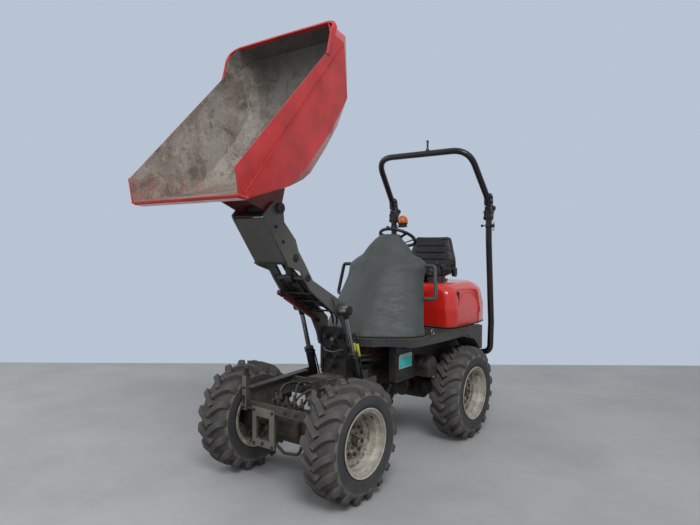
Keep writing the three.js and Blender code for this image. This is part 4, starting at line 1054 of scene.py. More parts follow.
def add_tower():
    body = Piece("tower_fittings")
    for side in (-1, 1):
        x = side * 100
        body.prism([(-1010, 578), (-1010, 640), (-1000, 700), (-998, 590)], x, x - side * 12)
        body.prism([(-936, 577), (-902, 577), (-902, 612), (-936, 700)], x, x - side * 14)
        for y, z in ((-984, 610), (-950, 610), (-984, 668), (-950, 668)):
            body.bolt(at(x, y, z), (side, 0, 0), 0.008)
        pin_head(body, at(side * 134, -967, 800), (side, 0, 0), 0.034, 0.012, False)
        body.turned(at(side * 100, -967, 800), (side, 0, 0), [(0, 0.040), (0.010, 0.040), (0.012, 0.036)], 28)
    for x, z, r in ((-48, 820, 26), (46, 826, 24), (-44, 700, 22), (40, 706, 24), (0, 762, 20), (-2, 640, 26)):
        body.turned(at(x, -998, z), (0, -1, 0), [(0, r * MM * 1.15), (0.006, r * MM * 1.15), (0.008, r * MM * 0.8),
                                                 (0.022, r * MM * 0.78), (0.024, r * MM * 0.6),
                                                 (0.036, r * MM * 0.55)], 20)
        body.turned(at(x, -1030, z), (0, -1, 0), [(0, r * MM * 0.7), (0.014, r * MM * 0.7)], 6)
    body.prism([(-86, 790), (86, 790), (86, 860), (60, 872), (-60, 872), (-86, 860)], -1004, -998, axis="y")
    body.done("front_body", "black_low", 0.0012, slot="black_paint")
    bank = Piece("valve_bank")
    for k in range(4):
        z = 608 + 22 * k
        bank.box(-72, 72, -936, -912, z, z + 19)
        bank.turned(at(78, -924, z + 10), (1, 0, 0), [(-0.006, 0.008), (0.004, 0.008), (0.005, 0.005),
                                                      (0.018, 0.005)], 12)
        bank.turned(at(-78, -924, z + 10), (-1, 0, 0), [(-0.006, 0.008), (0.004, 0.008), (0.005, 0.005),
                                                        (0.012, 0.005)], 12)
    bank.done("front_body", "iron", 0.002, slot="cast_iron")
    bright = Piece("tower_bright_parts")
    bright.turned(at(-6, -1004, 800), (0, -1, 0), [(0, 0.020), (0.012, 0.020), (0.016, 0.014), (0.020, 0.014)], 6)
    bright.tube(bent([at(-80, -1002, 742), at(-60, -1020, 728), at(10, -1024, 722), at(78, -1002, 742)], 0.02),
                0.0055, 10)
    bright.done("front_body", "zinc", 0.0008, slot="chrome")


def add_arm():
    box_end = Piece("arm_lips")
    box_end.prism([(-1580, 1298), (-1571, 1293), (-1548, 1322), (-1557, 1327)], -126, 126)
    box_end.prism([(-1745, 1556), (-1738, 1549), (-1700, 1572), (-1706, 1580)], -104, 104)
    box_end.done("lift_arm", "black_low", 0.0015, slot="black_paint")
    pins = Piece("arm_pins")
    for side in (-1, 1):
        out = (side, 0, 0)
        pin_head(pins, at(side * 138, -1635, 1600), out, 0.034, 0.010, False)
        pin_head(pins, at(side * 209, -1120, 1010), out, 0.032, 0.013, False)
        pins.turned(at(side * 146, -1120, 1010), out, [(0, 0.040), (0.003, 0.040), (0.0045, 0.036)], 28)
        pin_head(pins, at(side * 127, -1400, 1215), out, 0.022, 0.008, False)
        pins.turned(at(side * 127, -967, 800), out, [(-0.001, 0.054), (0.003, 0.054), (0.0048, 0.051)], 32)
        pins.turned(at(side * 127, -1500, 1330), out, [(-0.001, 0.026), (0.0025, 0.026), (0.004, 0.024)], 24)
        pins.bolt(at(side * 127, -1655, 1500), out, 0.008)
        pins.bolt(at(side * 127, -1600, 1420), out, 0.008)
    pins.done("lift_arm", "black_low", 0.001, slot="cast_iron")
    guts = Piece("arm_inner_parts")
    for x in (-60, 0, 58):
        guts.prism([(-1390, 1196), (-1380, 1216), (-1290, 1166), (-1296, 1146)], x - 10, x + 10)
    guts.rod(at(-112, -1330, 1178), at(112, -1330, 1178), 0.012)
    guts.rod(at(-112, -1200, 1108), at(112, -1200, 1108), 0.012)
    for k, x in enumerate((-82, -46, 46, 82)):
        line = [at(x, -1070, 985), at(x, -1140, 1020), at(x, -1260, 1090), at(x, -1340, 1138),
                at(x, -1396, 1186 + 3 * k)]
        guts.tube(spline(line, 6), 0.0105, 10)
        guts.turned(line[0], line[0] - line[1], [(-0.008, 0.011), (0.016, 0.011)], 6)
        guts.turned(line[-1], line[-1] - line[-2], [(-0.008, 0.011), (0.016, 0.011)], 6)
    for y, z in ((-1120, 1006), (-1240, 1074), (-1330, 1128)):
        guts.box(-104, 104, y - 9, y + 9, z - 14, z - 4)
        for x in (-64, 0, 64):
            guts.bolt(at(x, y, z - 13), (0, -0.3, -1), 0.006)
    guts.done("lift_arm", "black_low", 0.0012, slot="black_paint")
    prop = Piece("prop_ends")
    low, high = at(-99, -1391, 1118), at(-99, -1040, 921)
    along = (high - low).normalized()
    prop.turned(low - along * 0.016, along, [(0, 0.014), (0.006, 0.019), (0.046, 0.019), (0.052, 0.0145)], 20)
    prop.turned(high - along * 0.04, along, [(0, 0.0145), (0.006, 0.018), (0.030, 0.018), (0.044, 0.014)], 20)
    prop.rod(low + Vector((-0.018, 0.0, 0.016)), low + Vector((0.044, 0, -0.008)), 0.006)
    prop.done("lift_arm", "plastic", 0.0008, slot="black_paint")
    bar = Piece("prop_channel")
    up = Vector((1, 0, 0)).cross(along).normalized()
    rings = []
    for t in (0.06, (high - low).length - 0.05):
        middle = low + along * t
        rings.append([middle + Vector((dx, 0, 0)) + up * dz for dx, dz in
                      ((-0.0165, -0.016), (0.0165, -0.016), (0.0165, 0.013), (0.0155, 0.013), (0.0155, -0.012),
                       (-0.0155, -0.012), (-0.0155, 0.013), (-0.0165, 0.013))])
    bar.rings(rings)
    # The prop channel takes the darker red, a painted-shade copy of the skip's red.
    bar.done("lift_arm", "red_low", 0.0006, slot="red_paint")


def add_cylinders():
    for place, side in (("left", 1), ("right", -1)):
        x = side * 180
        foot, eye = at(x, *LIFT_FOOT), at(x, *LIFT_EYE)
        along = (eye - foot).normalized()
        side_way = Vector((0, along.z, -along.y))
        barrel = Piece(f"lift_barrel_fittings_{place}")
        for t, r in ((0.366, 0.0352), (0.388, 0.0362)):
            barrel.turned(foot + along * t, along, [(0, r - 0.002), (0.002, r), (0.007, r), (0.009, r - 0.002)], 28)
        barrel.turned(foot + along * 0.397, along, [(0, 0.030), (0.002, 0.026), (0.006, 0.0245), (0.007, 0.019)], 28)
        for t in (0.075, 0.345):
            port = foot + along * t + side_way * 0.028
            barrel.turned(port, side_way, [(0, 0.013), (0.010, 0.013), (0.011, 0.010), (0.016, 0.010)], 16)
            barrel.turned(port + side_way * 0.014, side_way, [(0, 0.011), (0.010, 0.011)], 6)
        line = [foot + along * 0.075 + side_way * 0.052, foot + along * 0.12 + side_way * 0.056,
                foot + along * 0.30 + side_way * 0.052, foot + along * 0.345 + side_way * 0.052]
        barrel.tube(spline([line[0] - side_way * 0.012, line[1], line[2], line[3] - side_way * 0.012], 8), 0.0055, 10)
        barrel.turned(foot + Vector((side * 0.0294, 0, 0)), (side, 0, 0),
                      [(-0.002, 0.030), (0.003, 0.030), (0.005, 0.027)], 24)
        barrel.turned(foot + Vector((side * 0.014, 0.0345, 0)), (0, 1, 0),
                      [(-0.003, 0.004), (0.006, 0.004), (0.009, 0.0025)], 8)
        barrel.done("lift_barrels", "black", 0.0006, slot="black_paint")
        if side > 0:
            sleeve = Piece("yellow_sleeves")
            tails = Piece("sleeve_hoses")
            for dx, dy, t in ((-0.012, 0.050, 0.372), (0.010, 0.056, 0.366)):
                start = foot + along * t + Vector((dx, dy, 0))
                sleeve.turned(start, along, [(0, 0.0085), (0.003, 0.0105), (0.085, 0.0105), (0.095, 0.0085)], 16)
                tails.tube(spline([start + along * 0.098, start + along * 0.02, start - along * 0.05,
                                   foot + along * 0.28 + Vector((dx * 0.4, 0.030, 0))], 8), 0.0062, 10)
            sleeve.done("lift_barrels", "yellow", 0.0006, slot="grey_paint")
            tails.done("lift_barrels", "hose", 0, slot="black_paint")
        rod = Piece(f"lift_rod_eye_{place}")
        rod.turned(eye - along * 0.062, along, [(0, 0.0172), (0.004, 0.021), (0.030, 0.022), (0.040, 0.026)], 24)
        for s in (-1, 1):
            rod.turned(eye + Vector((s * 0.028, 0, 0)), (s, 0, 0),
                       [(-0.001, 0.0285), (0.0015, 0.0285), (0.0028, 0.026)], 28)
        rod.turned(eye + along * 0.028, along, [(-0.002, 0.004), (0.006, 0.004), (0.008, 0.0025)], 8)
        rod.done("lift_rods", "black_low", 0.0006, slot="cast_iron")
    low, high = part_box("tip_rod")
    foot, top = at(*TIP_FOOT), Vector((0, low.y + TIP_EYE_RADIUS, high.z - TIP_EYE_RADIUS))
    along = (top - foot).normalized()
    side_way = Vector((0, along.z, -along.y))
    barrel = Piece("tip_barrel_fittings")
    for t in (0.335, 0.357):
        barrel.turned(foot + along * t, along, [(0, 0.0335), (0.002, 0.0355), (0.007, 0.0355), (0.009, 0.0335)], 28)
    for t in (0.075, 0.315):
        port = foot + along * t + side_way * 0.028
        barrel.turned(port, side_way, [(0, 0.012), (0.010, 0.012), (0.011, 0.009), (0.015, 0.009)], 16)
        barrel.turned(port + side_way * 0.013, side_way, [(0, 0.010), (0.009, 0.010)], 6)
    barrel.done("tip_barrel", "black", 0.0006, slot="black_paint")


add_tower()
add_arm()
add_cylinders()


# ---------------------------------------------------------------- front frame
def add_front_frame():
    face = Piece("post_faces")
    back = Piece("post_brackets")
    for side in (-1, 1):
        x = side * 277
        y = -1512
        face.prism([(x - 17, 412), (x + 17, 412), (x + 17, 606), (x + 10, 618), (x - 17, 618)]
                   if side > 0 else
                   [(x - 17, 412), (x + 17, 412), (x + 17, 618), (x - 10, 618), (x - 17, 606)],
                   y - 6, y - 1, axis="y")
        for dz in (430, 462):
            back.bolt(at(x, y - 6, dz), (0, -1, 0), 0.008)
        back.prism([(x - 16, 540), (x + 16, 540), (x + 16, 552), (x - 16, 552)], y - 9, y - 5, axis="y")
        back.prism([(x - 12, 470), (x + 12, 470), (x + 12, 500), (x - 12, 500)], y - 8, y - 5, axis="y")
        back.turned(at(x, -1495, 620), (0, 0, 1), [(0, 0.026), (0.004, 0.026), (0.006, 0.020)], 20)
    frame_edge = [(-206, 218), (-26, 218), (-26, 448), (-206, 448)]
    window = [(-174, 260), (-66, 260), (-66, 394), (-174, 394)]
    for (u0, w0), (u1, w1), (u2, w2), (u3, w3) in zip(frame_edge, frame_edge[1:] + frame_edge[:1],
                                                      window[1:] + window[:1], window):
        face.prism([(u0, w0), (u1, w1), (u2, w2), (u3, w3)], -1516, -1512.5, axis="y")
    face.done("front_body", "posts", 0.0012, slot="frame_paint")
    for x, z in ((-190, 232), (-42, 232), (-190, 430), (-42, 430), (-120, 238), (60, 450), (140, 450), (-230, 455),
                 (230, 455)):
        back.bolt(at(x, -1516 if z < 445 else -1513, z), (0, -1, 0), 0.0085)
    back.turned(at(-120, -1516, 240), (0, -1, 0), [(0, 0.013), (0.006, 0.013), (0.008, 0.010)], 16)
    back.tube(bent([at(-20, -1500, 250), at(40, -1500, 214), at(150, -1500, 226), at(170, -1480, 300)], 0.04), 0.010,
              10)
    back.done("front_body", "bolts", 0.0008, slot="frame_paint")
    rusty = Piece("rusty_fittings")
    for k, (x, y, z) in enumerate(((-60, -1424, 500), (-10, -1430, 470), (48, -1424, 486), (96, -1412, 470),
                                   (-104, -1418, 478))):
        rusty.turned(at(x, y, z), (0.2 * (k % 2), -1, 0.25), [(0, 0.020), (0.014, 0.020), (0.016, 0.013),
                                                              (0.034, 0.012)], 6)
        rusty.turned(at(x, y, z), (0, 0, 1), [(-0.01, 0.011), (0.03, 0.011), (0.034, 0.008), (0.052, 0.008)], 12)
    rusty.prism([(-1470, 430), (-1430, 430), (-1428, 462), (-1444, 500), (-1462, 486)], -58, -46)
    rusty.prism([(-1470, 430), (-1430, 430), (-1428, 470), (-1450, 506), (-1466, 480)], 74, 86)
    rusty.done("front_body", "iron", 0.0012, slot="cast_iron")
    for name, body, y in (("front", "front_body", -1360), ("rear", "rear_body", 0)):
        motor = Piece(f"axle_castings_{name}")
        centre = at(0, y, WHEEL_CENTRE_Z)
        for side in (-1, 1):
            motor.turned(centre + Vector((side * 0.098, 0, 0)), (side, 0, 0),
                         [(-0.004, 0.112), (0.010, 0.114), (0.016, 0.108), (0.020, 0.080), (0.060, 0.074),
                          (0.10, 0.060),
                          (0.13, 0.0490)], 40)
            for a in turns(12):
                motor.bolt(centre + Vector((side * 0.112, 0.101 * math.cos(a), 0.101 * math.sin(a))), (side, 0, 0),
                           0.0065)
            brake = centre + Vector((side * 0.365, 0, 0))
            motor.turned(brake, (side, 0, 0), [(-0.012, 0.050), (0.0, 0.090), (0.020, 0.094), (0.045, 0.094),
                                               (0.052, 0.088)], 36)
            for k in range(8):
                a = 2 * math.pi * (k + 0.5) / 8
                motor.bolt(brake + Vector((-side * 0.002, 0.074 * math.cos(a), 0.074 * math.sin(a))), (-side, 0, 0),
                           0.007)
        for angle in (20, 70, 110, 160, 200, 250, 290, 340):
            a = math.radians(angle)
            out = Vector((0, math.cos(a), math.sin(a)))
            across = Vector((0, -math.sin(a), math.cos(a)))
            base = centre + out * 0.105
            motor.rings([[base + Vector((dx, 0, 0)) + across * dw + out * dh for dx, dw, dh in
                          ((-0.092, -0.005, -0.004), (-0.092, 0.005, -0.004), (-0.080, 0.004, 0.010),
                           (-0.080, -0.004, 0.010))],
                         [base + Vector((dx, 0, 0)) + across * dw + out * dh for dx, dw, dh in
                          ((0.092, -0.005, -0.004), (0.092, 0.005, -0.004), (0.080, 0.004, 0.010),
                           (0.080, -0.004, 0.010))]])
        motor.done(body, "iron", 0.0015, slot="cast_iron")


add_front_frame()


# ---------------------------------------------------------------- rear body
def add_rear_details():
    nose = Piece("waist_bearing_housing")
    for side in (-1, 1):
        nose.prism([(-738, 622), (-600, 622), (-540, 640), (-532, 748), (-738, 748)], side * 92, side * 106)
    nose.prism([(-106, 622), (106, 622), (106, 748), (-106, 748)], -742, -730, axis="y")
    for x, z, r in ((-62, 706, 20), (58, 704, 24), (58, 650, 16), (-62, 650, 16)):
        nose.turned(at(x, -742, z), (0, -1, 0), [(-0.002, r * MM * 1.3), (0.008, r * MM * 1.3), (0.010, r * MM),
                                                 (0.004, r * MM * 0.8),
                                                 (0.004, 0.0)], 24)
    nose.turned(at(0, -640, 618), (0, 0, 1), [(0, 0.046), (0.012, 0.050), (0.05, 0.050), (0.055, 0.044)], 32)
    for x in (-86, 0, 86):
        nose.bolt(at(x, -742, 734), (0, -1, 0), 0.009)
    nose.done("rear_body", "rust", 0.003, slot="cast_iron", segments=3)

    edge = Piece("deck_edge")
    outline = [(0, -885), (120, -880), (200, -852), (250, -785), (330, -752), (400, -722), (430, -682), (436, -600),
               (455, -330),
               (460, 232)]
    line = [(-x, y) if i else (x, y) for i, (x, y) in enumerate(
        [(0, -885), (120, -880), (200, -852), (250, -785), (330, -690), (395, -615), (432, -560), (455, -330),
         (460, 232)])]
    for points in (outline, line):
        rings = []
        for x, y in points:
            out = Vector((x * 1.2, y + 250, 0)).normalized() if y < -600 else Vector((1 if x > 0 else -1, 0, 0))
            base = at(x, y, 786)
            rings.append([base + out * a + Vector((0, 0, b)) for a, b in
                          ((-0.004, 0.010), (0.0012, 0.010), (0.0018, 0.012), (0.0010, 0.0155), (-0.006, 0.0165))])
        edge.rings(rings)
    edge.done("rear_body", "rust", 0.0006, slot="grey_paint")

    plates = Piece("deck_plates")
    for side in (-1, 1):
        rim = [(412, -600), (424, -560), (446, -330), (450, 225), (420, 225), (408, -150), (412, -520)]
        plates.prism([(side * x, y) for x, y in rim], 799.5, 804, axis="z")
        for k in range(16):
            y = -520 + 44 * k
            plates.rings([[at(side * (430 + dx), y + dy, z) for dx, dy in ((-9, -3), (9, 3), (9, 7), (-9, 1))]
                          for z in (803, 806)])
        for y in (-470, -250, 20, 190):
            plates.bolt(at(side * 440, y, 804), (0, 0, 1), 0.007)
        plates.prism([(-60, 744), (86, 714), (146, 668), (196, 616), (204, 616), (152, 676), (90, 724), (-60, 752)],
                     side * 300, side * 463)
    plates.done("rear_body", "grey", 0.0012, slot="grey_paint")

    ring = Piece("tie_down_rings")
    for x, y in ((428, -480), (-428, -480)):
        place = at(x, y, 806)
        loop = [place + Vector((0, 0.020 * math.sin(a), 0.022 - 0.022 * math.cos(a)))
                for a in turns(24)]
        for a, b in zip(loop, loop[1:] + loop[:1]):
            ring.rod(a, b + (b - a) * 0.15, 0.0045, 8, 0.0001)
        ring.box(x - 12, x + 12, y - 26, y + 26, 804, 809)
        ring.bolt(at(x, y - 20, 809), (0, 0, 1), 0.005)
        ring.bolt(at(x, y + 20, 809), (0, 0, 1), 0.005)
    ring.done("rear_body", "zinc", 0.0004, slot="chrome")

    mats = Piece("footwell_mats")
    for side in (-1, 1):
        mats.prism([(side * x, y) for x, y in ((120, -590), (375, -560), (390, -420), (400, -175), (120, -175))],
                   800.5, 805, axis="z")
        for k in range(20):
            x = side * (136 + 13 * k)
            top = -560 if abs(x) < 330 else -520
            mats.box(x, x + side * 5, top, -190, 804.5, 808)
    mats.done("rear_body", "rubber", 0.0012, slot="tyre")

    box_piece = Piece("battery_box_details")
    box_piece.box(272, 308, -739, -501, 716, 742)
    box_piece.prism([(-722, 528), (-518, 528), (-518, 700), (-722, 700)], 304, 308)
    for y, z in ((-712, 540), (-528, 540), (-712, 688), (-528, 688)):
        box_piece.bolt(at(308, y, z), (1, 0, 0), 0.006)
    box_piece.tube(bent([at(306, -660, 728), at(322, -660, 728), at(322, -580, 728), at(306, -580, 728)], 0.008),
                   0.0045, 10)
    box_piece.prism([(274, 516), (304, 516), (304, 700), (274, 700)], -739, -735, axis="y")
    for z in (530, 686):
        box_piece.bolt(at(290, -739, z), (0, -1, 0), 0.005)
    box_piece.done("rear_body", "black_low", 0.002, slot="black_paint")
    stick = Piece("blank_sticker_pale")
    stick.prism([(-708, 596), (-548, 596), (-548, 690), (-708, 690)], 308.2, 309.2)
    stick.done("rear_body", "plate", 0.0003, slot="grey_paint")
    stick = Piece("blank_sticker_teal")
    stick.prism([(-702, 602), (-554, 602), (-554, 668), (-702, 668)], 309.3, 310.0)
    stick.done("rear_body", "teal", 0.0003, slot="grey_paint")

    canister = Piece("canister_bands")
    centre = at(0, -428, 578)
    for x in (290, 330, 372):
        canister.turned(centre + Vector((x * MM, 0, 0)), (1, 0, 0),
                        [(0, 0.0815), (0.002, 0.0838), (0.012, 0.0838), (0.014, 0.0815)], 36)
    canister.turned(centre + Vector((395 * MM, 0, 0)), (1, 0, 0),
                    [(-0.002, 0.078), (0.004, 0.074), (0.008, 0.050), (0.012, 0.030),
                                                                (0.013, 0.0)], 36)
    canister.bolt(centre + Vector((0.458, 0, 0)), (1, 0, 0), 0.010)
    canister.done("rear_body", "black_low", 0.001, slot="black_paint")

    tank = Piece("tank_details")
    tank.turned(at(-335, -600, 742), (0, 0, 1), [(-0.004, 0.036), (0.004, 0.036), (0.005, 0.042), (0.020, 0.042),
                                                 (0.024, 0.036)], 28)
    tank.prism([(-650, 515), (-390, 515), (-390, 732), (-650, 732)], -404, -400)
    for y in (-630, -410):
        for z in (530, 716):
            tank.bolt(at(-404, y, z), (-1, 0, 0), 0.007)
    tank.rod(at(-407, -520, 560), at(-407, -520, 680), 0.006)
    tank.turned(at(-300, -664, 560), (0, -1, 0), [(-0.006, 0.016), (0.012, 0.016), (0.014, 0.011), (0.022, 0.011)], 6)
    tank.done("rear_body", "black_low", 0.002, slot="grey_paint")

    sides = Piece("side_plate_details")
    for side in (-1, 1):
        x = side * 270
        for y in (-700, -420, -160, 160, 300, 480):
            for z in (540, 720):
                if not (side > 0 and y < -360) and not (side < 0 and -665 < y < -375):
                    sides.bolt(at(x, y, z), (side, 0, 0), 0.009)
        sides.prism([(110, 505), (500, 505), (500, 519), (110, 519)], x, x + side * 6)
        sides.tube(spline([at(side * 276, -350, 700), at(side * 284, -200, 690), at(side * 282, 0, 704),
                           at(side * 278, 200, 690),
                           at(side * 276, 330, 640)], 8), 0.008, 10)
        for y in (-200, 0, 200):
            sides.box(side * 270, side * 292, y - 8, y + 8, 680, 714)
    for x in (-220, 0, 220):
        sides.bolt(at(x, 540, 520), (0, 1, 0), 0.012)
        sides.bolt(at(x, 540, 680), (0, 1, 0), 0.012)
    sides.prism([(-120, 470), (120, 470), (120, 560), (-120, 560)], 540, 552, axis="y")
    for side in (-1, 1):
        sides.prism([(535, 478), (600, 490), (608, 515), (600, 540), (535, 552)], side * 28, side * 42)
    sides.rod(at(-48, 582, 515), at(48, 582, 515), 0.012)
    sides.done("rear_body", "black_low", 0.0015, slot="black_paint")


add_rear_details()


# ---------------------------------------------------------------- roll-over bar
def add_rops_details():
    plates = Piece("hinge_plates")
    bolts = Piece("hinge_bolts")
    fold = Piece("hoop_fittings")
    for side in (-1, 1):
        x = side * 440
        for s in (-1, 1):
            near = x + s * 25
            plates.prism([(348, 1606), (392, 1600), (404, 1620), (404, 1680), (380, 1690), (352, 1680)],
                         near, near + s * 4)
            bolts.bolt(at(near + s * 4, 366, 1622), (s, 0, 0), 0.0105)
            bolts.bolt(at(near + s * 4, 366, 1664), (s, 0, 0), 0.0105)
            pin_head(bolts, at(x + s * 24, 425, 1700), (s, 0, 0), 0.020, 0.008, False)
            fold.prism([(352, 1716), (392, 1716), (398, 1760), (384, 1800), (352, 1812), (340, 1800)],
                       x + s * 14, x + s * 27)
            fold.bolt(at(x + s * 27, 372, 1742), (s, 0, 0), 0.0095)
            fold.bolt(at(x + s * 27, 366, 1780), (s, 0, 0), 0.0095)
        plates.turned(at(x + side * 34, 352, 1560), (side, 0, 0),
                      [(-0.012, 0.006), (0.006, 0.006), (0.007, 0.015), (0.022, 0.016),
                                                                (0.028, 0.011)], 18)
        plates.turned(at(x - side * 34, 352, 1560), (-side, 0, 0),
                      [(-0.012, 0.006), (0.006, 0.006), (0.007, 0.013), (0.018, 0.012)], 18)
        plates.turned(at(x, 376, 1545), (0, 0.02, 1), [(0, 0.0278), (0.003, 0.031), (0.030, 0.031), (0.033, 0.0278)],
                      28)
        plates.turned(at(x, 376, 1620), (0, 0.02, 1), [(0, 0.0278), (0.003, 0.031), (0.020, 0.031), (0.023, 0.0278)],
                      28)
        for y, z in ((365, 520), (365, 580), (445, 520), (445, 580)):
            bolts.bolt(at(side * 280.5, y, z), (side, 0, 0), 0.012)
    plates.done("rear_body", "black", 0.0015, slot="black_paint")
    bolts.done("rear_body", "bolts", 0.0006, slot="cast_iron")
    fold.rod(at(60, 77, 2140), at(60, 77, 2216), 0.0085, 14)
    fold.turned(at(60, 77, 2141), (0, 0, 1), [(-0.004, 0.018), (0.006, 0.018), (0.010, 0.012), (0.022, 0.010)], 18)
    fold.turned(at(60, 77, 2206), (0, 0, 1), [(0, 0.0085), (0.003, 0.012), (0.012, 0.012), (0.015, 0.008)], 14)
    fold.done("rops_hoop", "black", 0.0015, slot="black_paint")
    tag = Piece("blank_hinge_tag")
    tag.prism([(392, 1520), (424, 1520), (424, 1592), (392, 1592)], 466, 469)
    tag.done("rear_body", "plate", 0.001, slot="grey_paint")
    cable = Piece("beacon_wire")
    cable.tube(spline([at(-416, 372, 1545), at(-412, 380, 1400), at(-412, 400, 1150), at(-412, 420, 900),
                       at(-400, 420, 812)], 8), 0.004, 8)
    cable.done("rear_body", "hose", 0, slot="black_paint")


add_rops_details()


# ---------------------------------------------------------------- hood
def on_surface(piece, point, way):
    """Where a line from point along way meets the piece, and the surface's direction there."""
    hit, place, normal, _ = piece.ray_cast(point, way)
    return (place, normal) if hit else None


def add_hood_details(hood):
    seam = Piece("hood_seams")
    for side in (-1, 1):
        line = []
        for t in range(0, 25):
            a = math.radians(8 + t * 172 / 24 * 0.94)
            y, z = 130 - 205 * math.cos(a), 850 + 205 * math.sin(a)
            found = on_surface(hood, at(side * 600, y, z), Vector((-side, 0, 0)))
            if found:
                line.append(found[0] + found[1] * 0.0006)
        if len(line) > 3:
            seam.tube(line, 0.0042, 8)
        latch = on_surface(hood, at(side * 600, -22, 1052), Vector((-side, 0, 0)))
        if latch:
            seam_latch = Piece(f"hood_latch_{'left' if side > 0 else 'right'}")
            place, normal = latch
            seam_latch.turned(place - normal * 0.002, normal,
                              [(0, 0.019), (0.004, 0.020), (0.008, 0.017), (0.010, 0.010)], 24)
            seam_latch.turned(place + Vector((0, 0, -0.012)) + normal * 0.006, Vector((0, 0.05, -1)),
                              [(0, 0.007), (0.045, 0.006), (0.052, 0.003)], 12)
            seam_latch.bolt(place + normal * 0.008, normal, 0.007, False)
            seam_latch.done("hood", "plastic", 0.0015, slot="black_paint")
    seam.done("hood", "hood", 0, slot="red_paint", smooth=70)
    seal = Piece("hood_seal")
    rings = []
    rim = []
    for a in turns(96):
        way = Vector((math.cos(a), math.sin(a), 0))
        centre = at(0, 200, 812)
        found = on_surface(hood, centre + way * 1.5, -way)
        if found:
            rim.append((found[0], way))
    for place, way in rim:
        rings.append([place + way * a + Vector((0, 0, b)) for a, b in
                      ((0.002, -0.010), (0.005, -0.008), (0.005, 0.000), (0.001, 0.003), (-0.006, 0.000),
                       (-0.006, -0.010))])
    seal.rings(rings, closed=True)
    seal.done("hood", "rubber", 0, slot="black_paint", smooth=70)
    louvres = Piece("hood_louvres")
    for k in range(9):
        for side in (-1, 1):
            found = on_surface(hood, at(side * 110, 900, 880 + 18 * k), Vector((0, -1, 0)))
            if found:
                place, normal = found
                louvres.rings([[place + Vector((dx, 0.004, dz)) for dz in (-0.004, 0.004)] +
                               [place + Vector((dx, -0.006, dz)) for dz in (0.006, -0.002)] for dx in (-0.085,
                                                                                                       0.085)])
    louvres.done("hood", "plastic", 0.0015, slot="black_paint")


add_hood_details(hood)


# ---------------------------------------------------------------- skip rim
def add_skip_rim():
    rim = Piece("skip_rim_fold")
    half = 405
    # Along a side wall's rim: the way back from the lip, and how far the rim lies under the wall's full height.
    side_line = [(884, 44.2), (903, 44.6), (952, 20.0), (1005, -6.0), (1040, -12.0)]
    points = [(half, u, d) for u, d in side_line]
    for k in range(1, 6):
        a = math.pi / 2 * k / 6
        points.append((half - 60 + 60 * math.cos(a), 1040 + 50 * math.sin(a), -14 - k))
    points.append((half - 62, 1094, -19))
    mirrored = [(-x, u, d) for x, u, d in reversed(points)]
    line = [in_skip(x, -252 + u, 510 - d) for x, u, d in points + [(0, 1095, -19.5)] + mirrored]
    outward = [SKIP_TURN.to_3x3() @ w for w in
               [Vector((1, 0, 0))] * 4 + [Vector((1, 0.15, 0)).normalized()]
               + [Vector((math.cos(math.pi / 2 * k / 6), math.sin(math.pi / 2 * k / 6), 0)) for k in range(1, 6)]
               + [Vector((0.1, 1, 0)).normalized(), Vector((0, 1, 0)), Vector((-0.1, 1, 0)).normalized()]
               + [Vector((-math.cos(math.pi / 2 * k / 6), math.sin(math.pi / 2 * k / 6), 0)) for k in range(5, 0, -1)]
               + [Vector((-1, 0.15, 0)).normalized()] + [Vector((-1, 0, 0))] * 4]
    up = SKIP_TURN.to_3x3() @ Vector((0, 0, 1))
    rings = [[p - w * 0.010 + up * 0.001, p - w * 0.004 + up * 0.005, p + w * 0.006 + up * 0.004,
              p + w * 0.010 - up * 0.003,
              p + w * 0.009 - up * 0.026, p + w * 0.004 - up * 0.026] for p, w in zip(line, outward)]
    for ring, point in ((rings[0], line[0]), (rings[-1], line[-1])):
        ring[:] = [point + (p - point) * 0.3 for p in ring]
    rim.rings(rings)
    rim.done("skip", "red", 0.0012, slot="red_paint", smooth=50)
    lip = Piece("skip_front_lip")
    lip.prism([(-336, 402), (-332, 418), (-322, 414), (-326, 398)], -404, 404, in_skip)
    lip.prism([(-338, 404), (-330, 404), (-302, 366), (-310, 362)], -394, 394, in_skip)
    for side in (-1, 1):
        lip.prism([(-258, 508), (-250, 514), (-328, 418), (-336, 412)], side * 400, side * 412, in_skip)
        lip.prism([(-338, 418), (-330, 424), (-300, 372), (-308, 366)], side * 401, side * 411, in_skip)
    lip.done("skip", "red", 0.002, slot="red_paint")
    crease = Piece("skip_side_swage")
    for side in (-1, 1):
        x = side * 405
        crease.prism([(-306, 402), (788, 413.5), (788, 409), (-306, 397.5)], x, x + side * 4.5, in_skip)
    crease.done("skip", "red", 0.0015, slot="red_paint")


add_skip_rim()


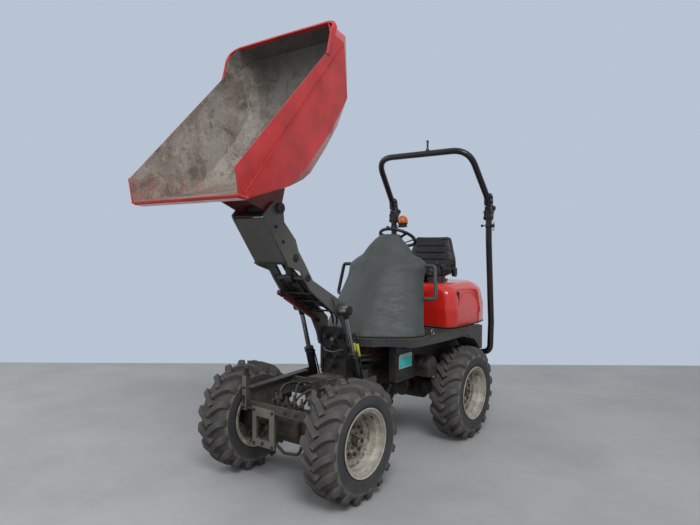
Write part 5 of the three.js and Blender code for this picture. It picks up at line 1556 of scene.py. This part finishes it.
# ---------------------------------------------------------------- floor and light
def add_stage():
    floor_mesh = bpy.data.meshes.new("floor")
    turn = Matrix.Rotation(math.radians(37.2), 4, "Z")
    corners = [turn @ Vector(p) for p in ((-30, -30, 0), (30, -30, 0), (30, 3.3, 0), (-30, 3.3, 0))]
    floor_mesh.from_pydata(corners, [], [(0, 1, 2, 3)])
    floor = bpy.data.objects.new("floor", floor_mesh)
    scene.collection.objects.link(floor)
    n = Nodes("pale_floor")
    colour = n.mix(n.step(n.noise(0.8, 6), 0.35, 0.65), srgb(168, 168, 167), srgb(156, 156, 156))
    colour = n.mix(n.step(n.noise(14, 8, 0.7), 0.45, 0.7, 0, 0.3), colour, srgb(154, 154, 155))
    floor_mesh.materials.append(n.done(colour, 0.9, n.bump(n.noise(60, 6), 0.1, 0.002)))

    world = bpy.data.worlds.new("studio")
    scene.world = world
    world.use_nodes = True
    tree = world.node_tree
    tree.nodes.clear()
    path = tree.nodes.new("ShaderNodeLightPath")
    seen = tree.nodes.new("ShaderNodeMath")
    seen.operation = "MAXIMUM"
    tree.links.new(path.outputs["Is Camera Ray"], seen.inputs[0])
    tree.links.new(path.outputs["Is Transmission Ray"], seen.inputs[1])
    light, backdrop = (tree.nodes.new("ShaderNodeBackground") for _ in range(2))
    light.inputs["Color"].default_value = srgb(236, 241, 250)
    light.inputs["Strength"].default_value = 0.66
    backdrop.inputs["Color"].default_value = srgb(184, 196, 212)
    backdrop.inputs["Strength"].default_value = 1.0
    mix = tree.nodes.new("ShaderNodeMixShader")
    out = tree.nodes.new("ShaderNodeOutputWorld")
    tree.links.new(seen.outputs[0], mix.inputs[0])
    tree.links.new(light.outputs[0], mix.inputs[1])
    tree.links.new(backdrop.outputs[0], mix.inputs[2])
    tree.links.new(mix.outputs[0], out.inputs[0])

    def lamp(name, place, target, size, power):
        data = bpy.data.lights.new(name, "AREA")
        data.shape = "DISK"
        data.size = size
        data.energy = power
        lamp_object = bpy.data.objects.new(name, data)
        lamp_object.location = place
        lamp_object.rotation_euler = (Vector(target) - Vector(place)).to_track_quat("-Z", "Y").to_euler()
        scene.collection.objects.link(lamp_object)

    lamp("key", (4.5, -4.5, 7.0), (0, 0, 1), 3.5, 430)
    lamp("fill", (-6.0, -3.0, 4.0), (0, 0, 1), 5.0, 90)
    scene.view_settings.view_transform = "Standard"


add_stage()
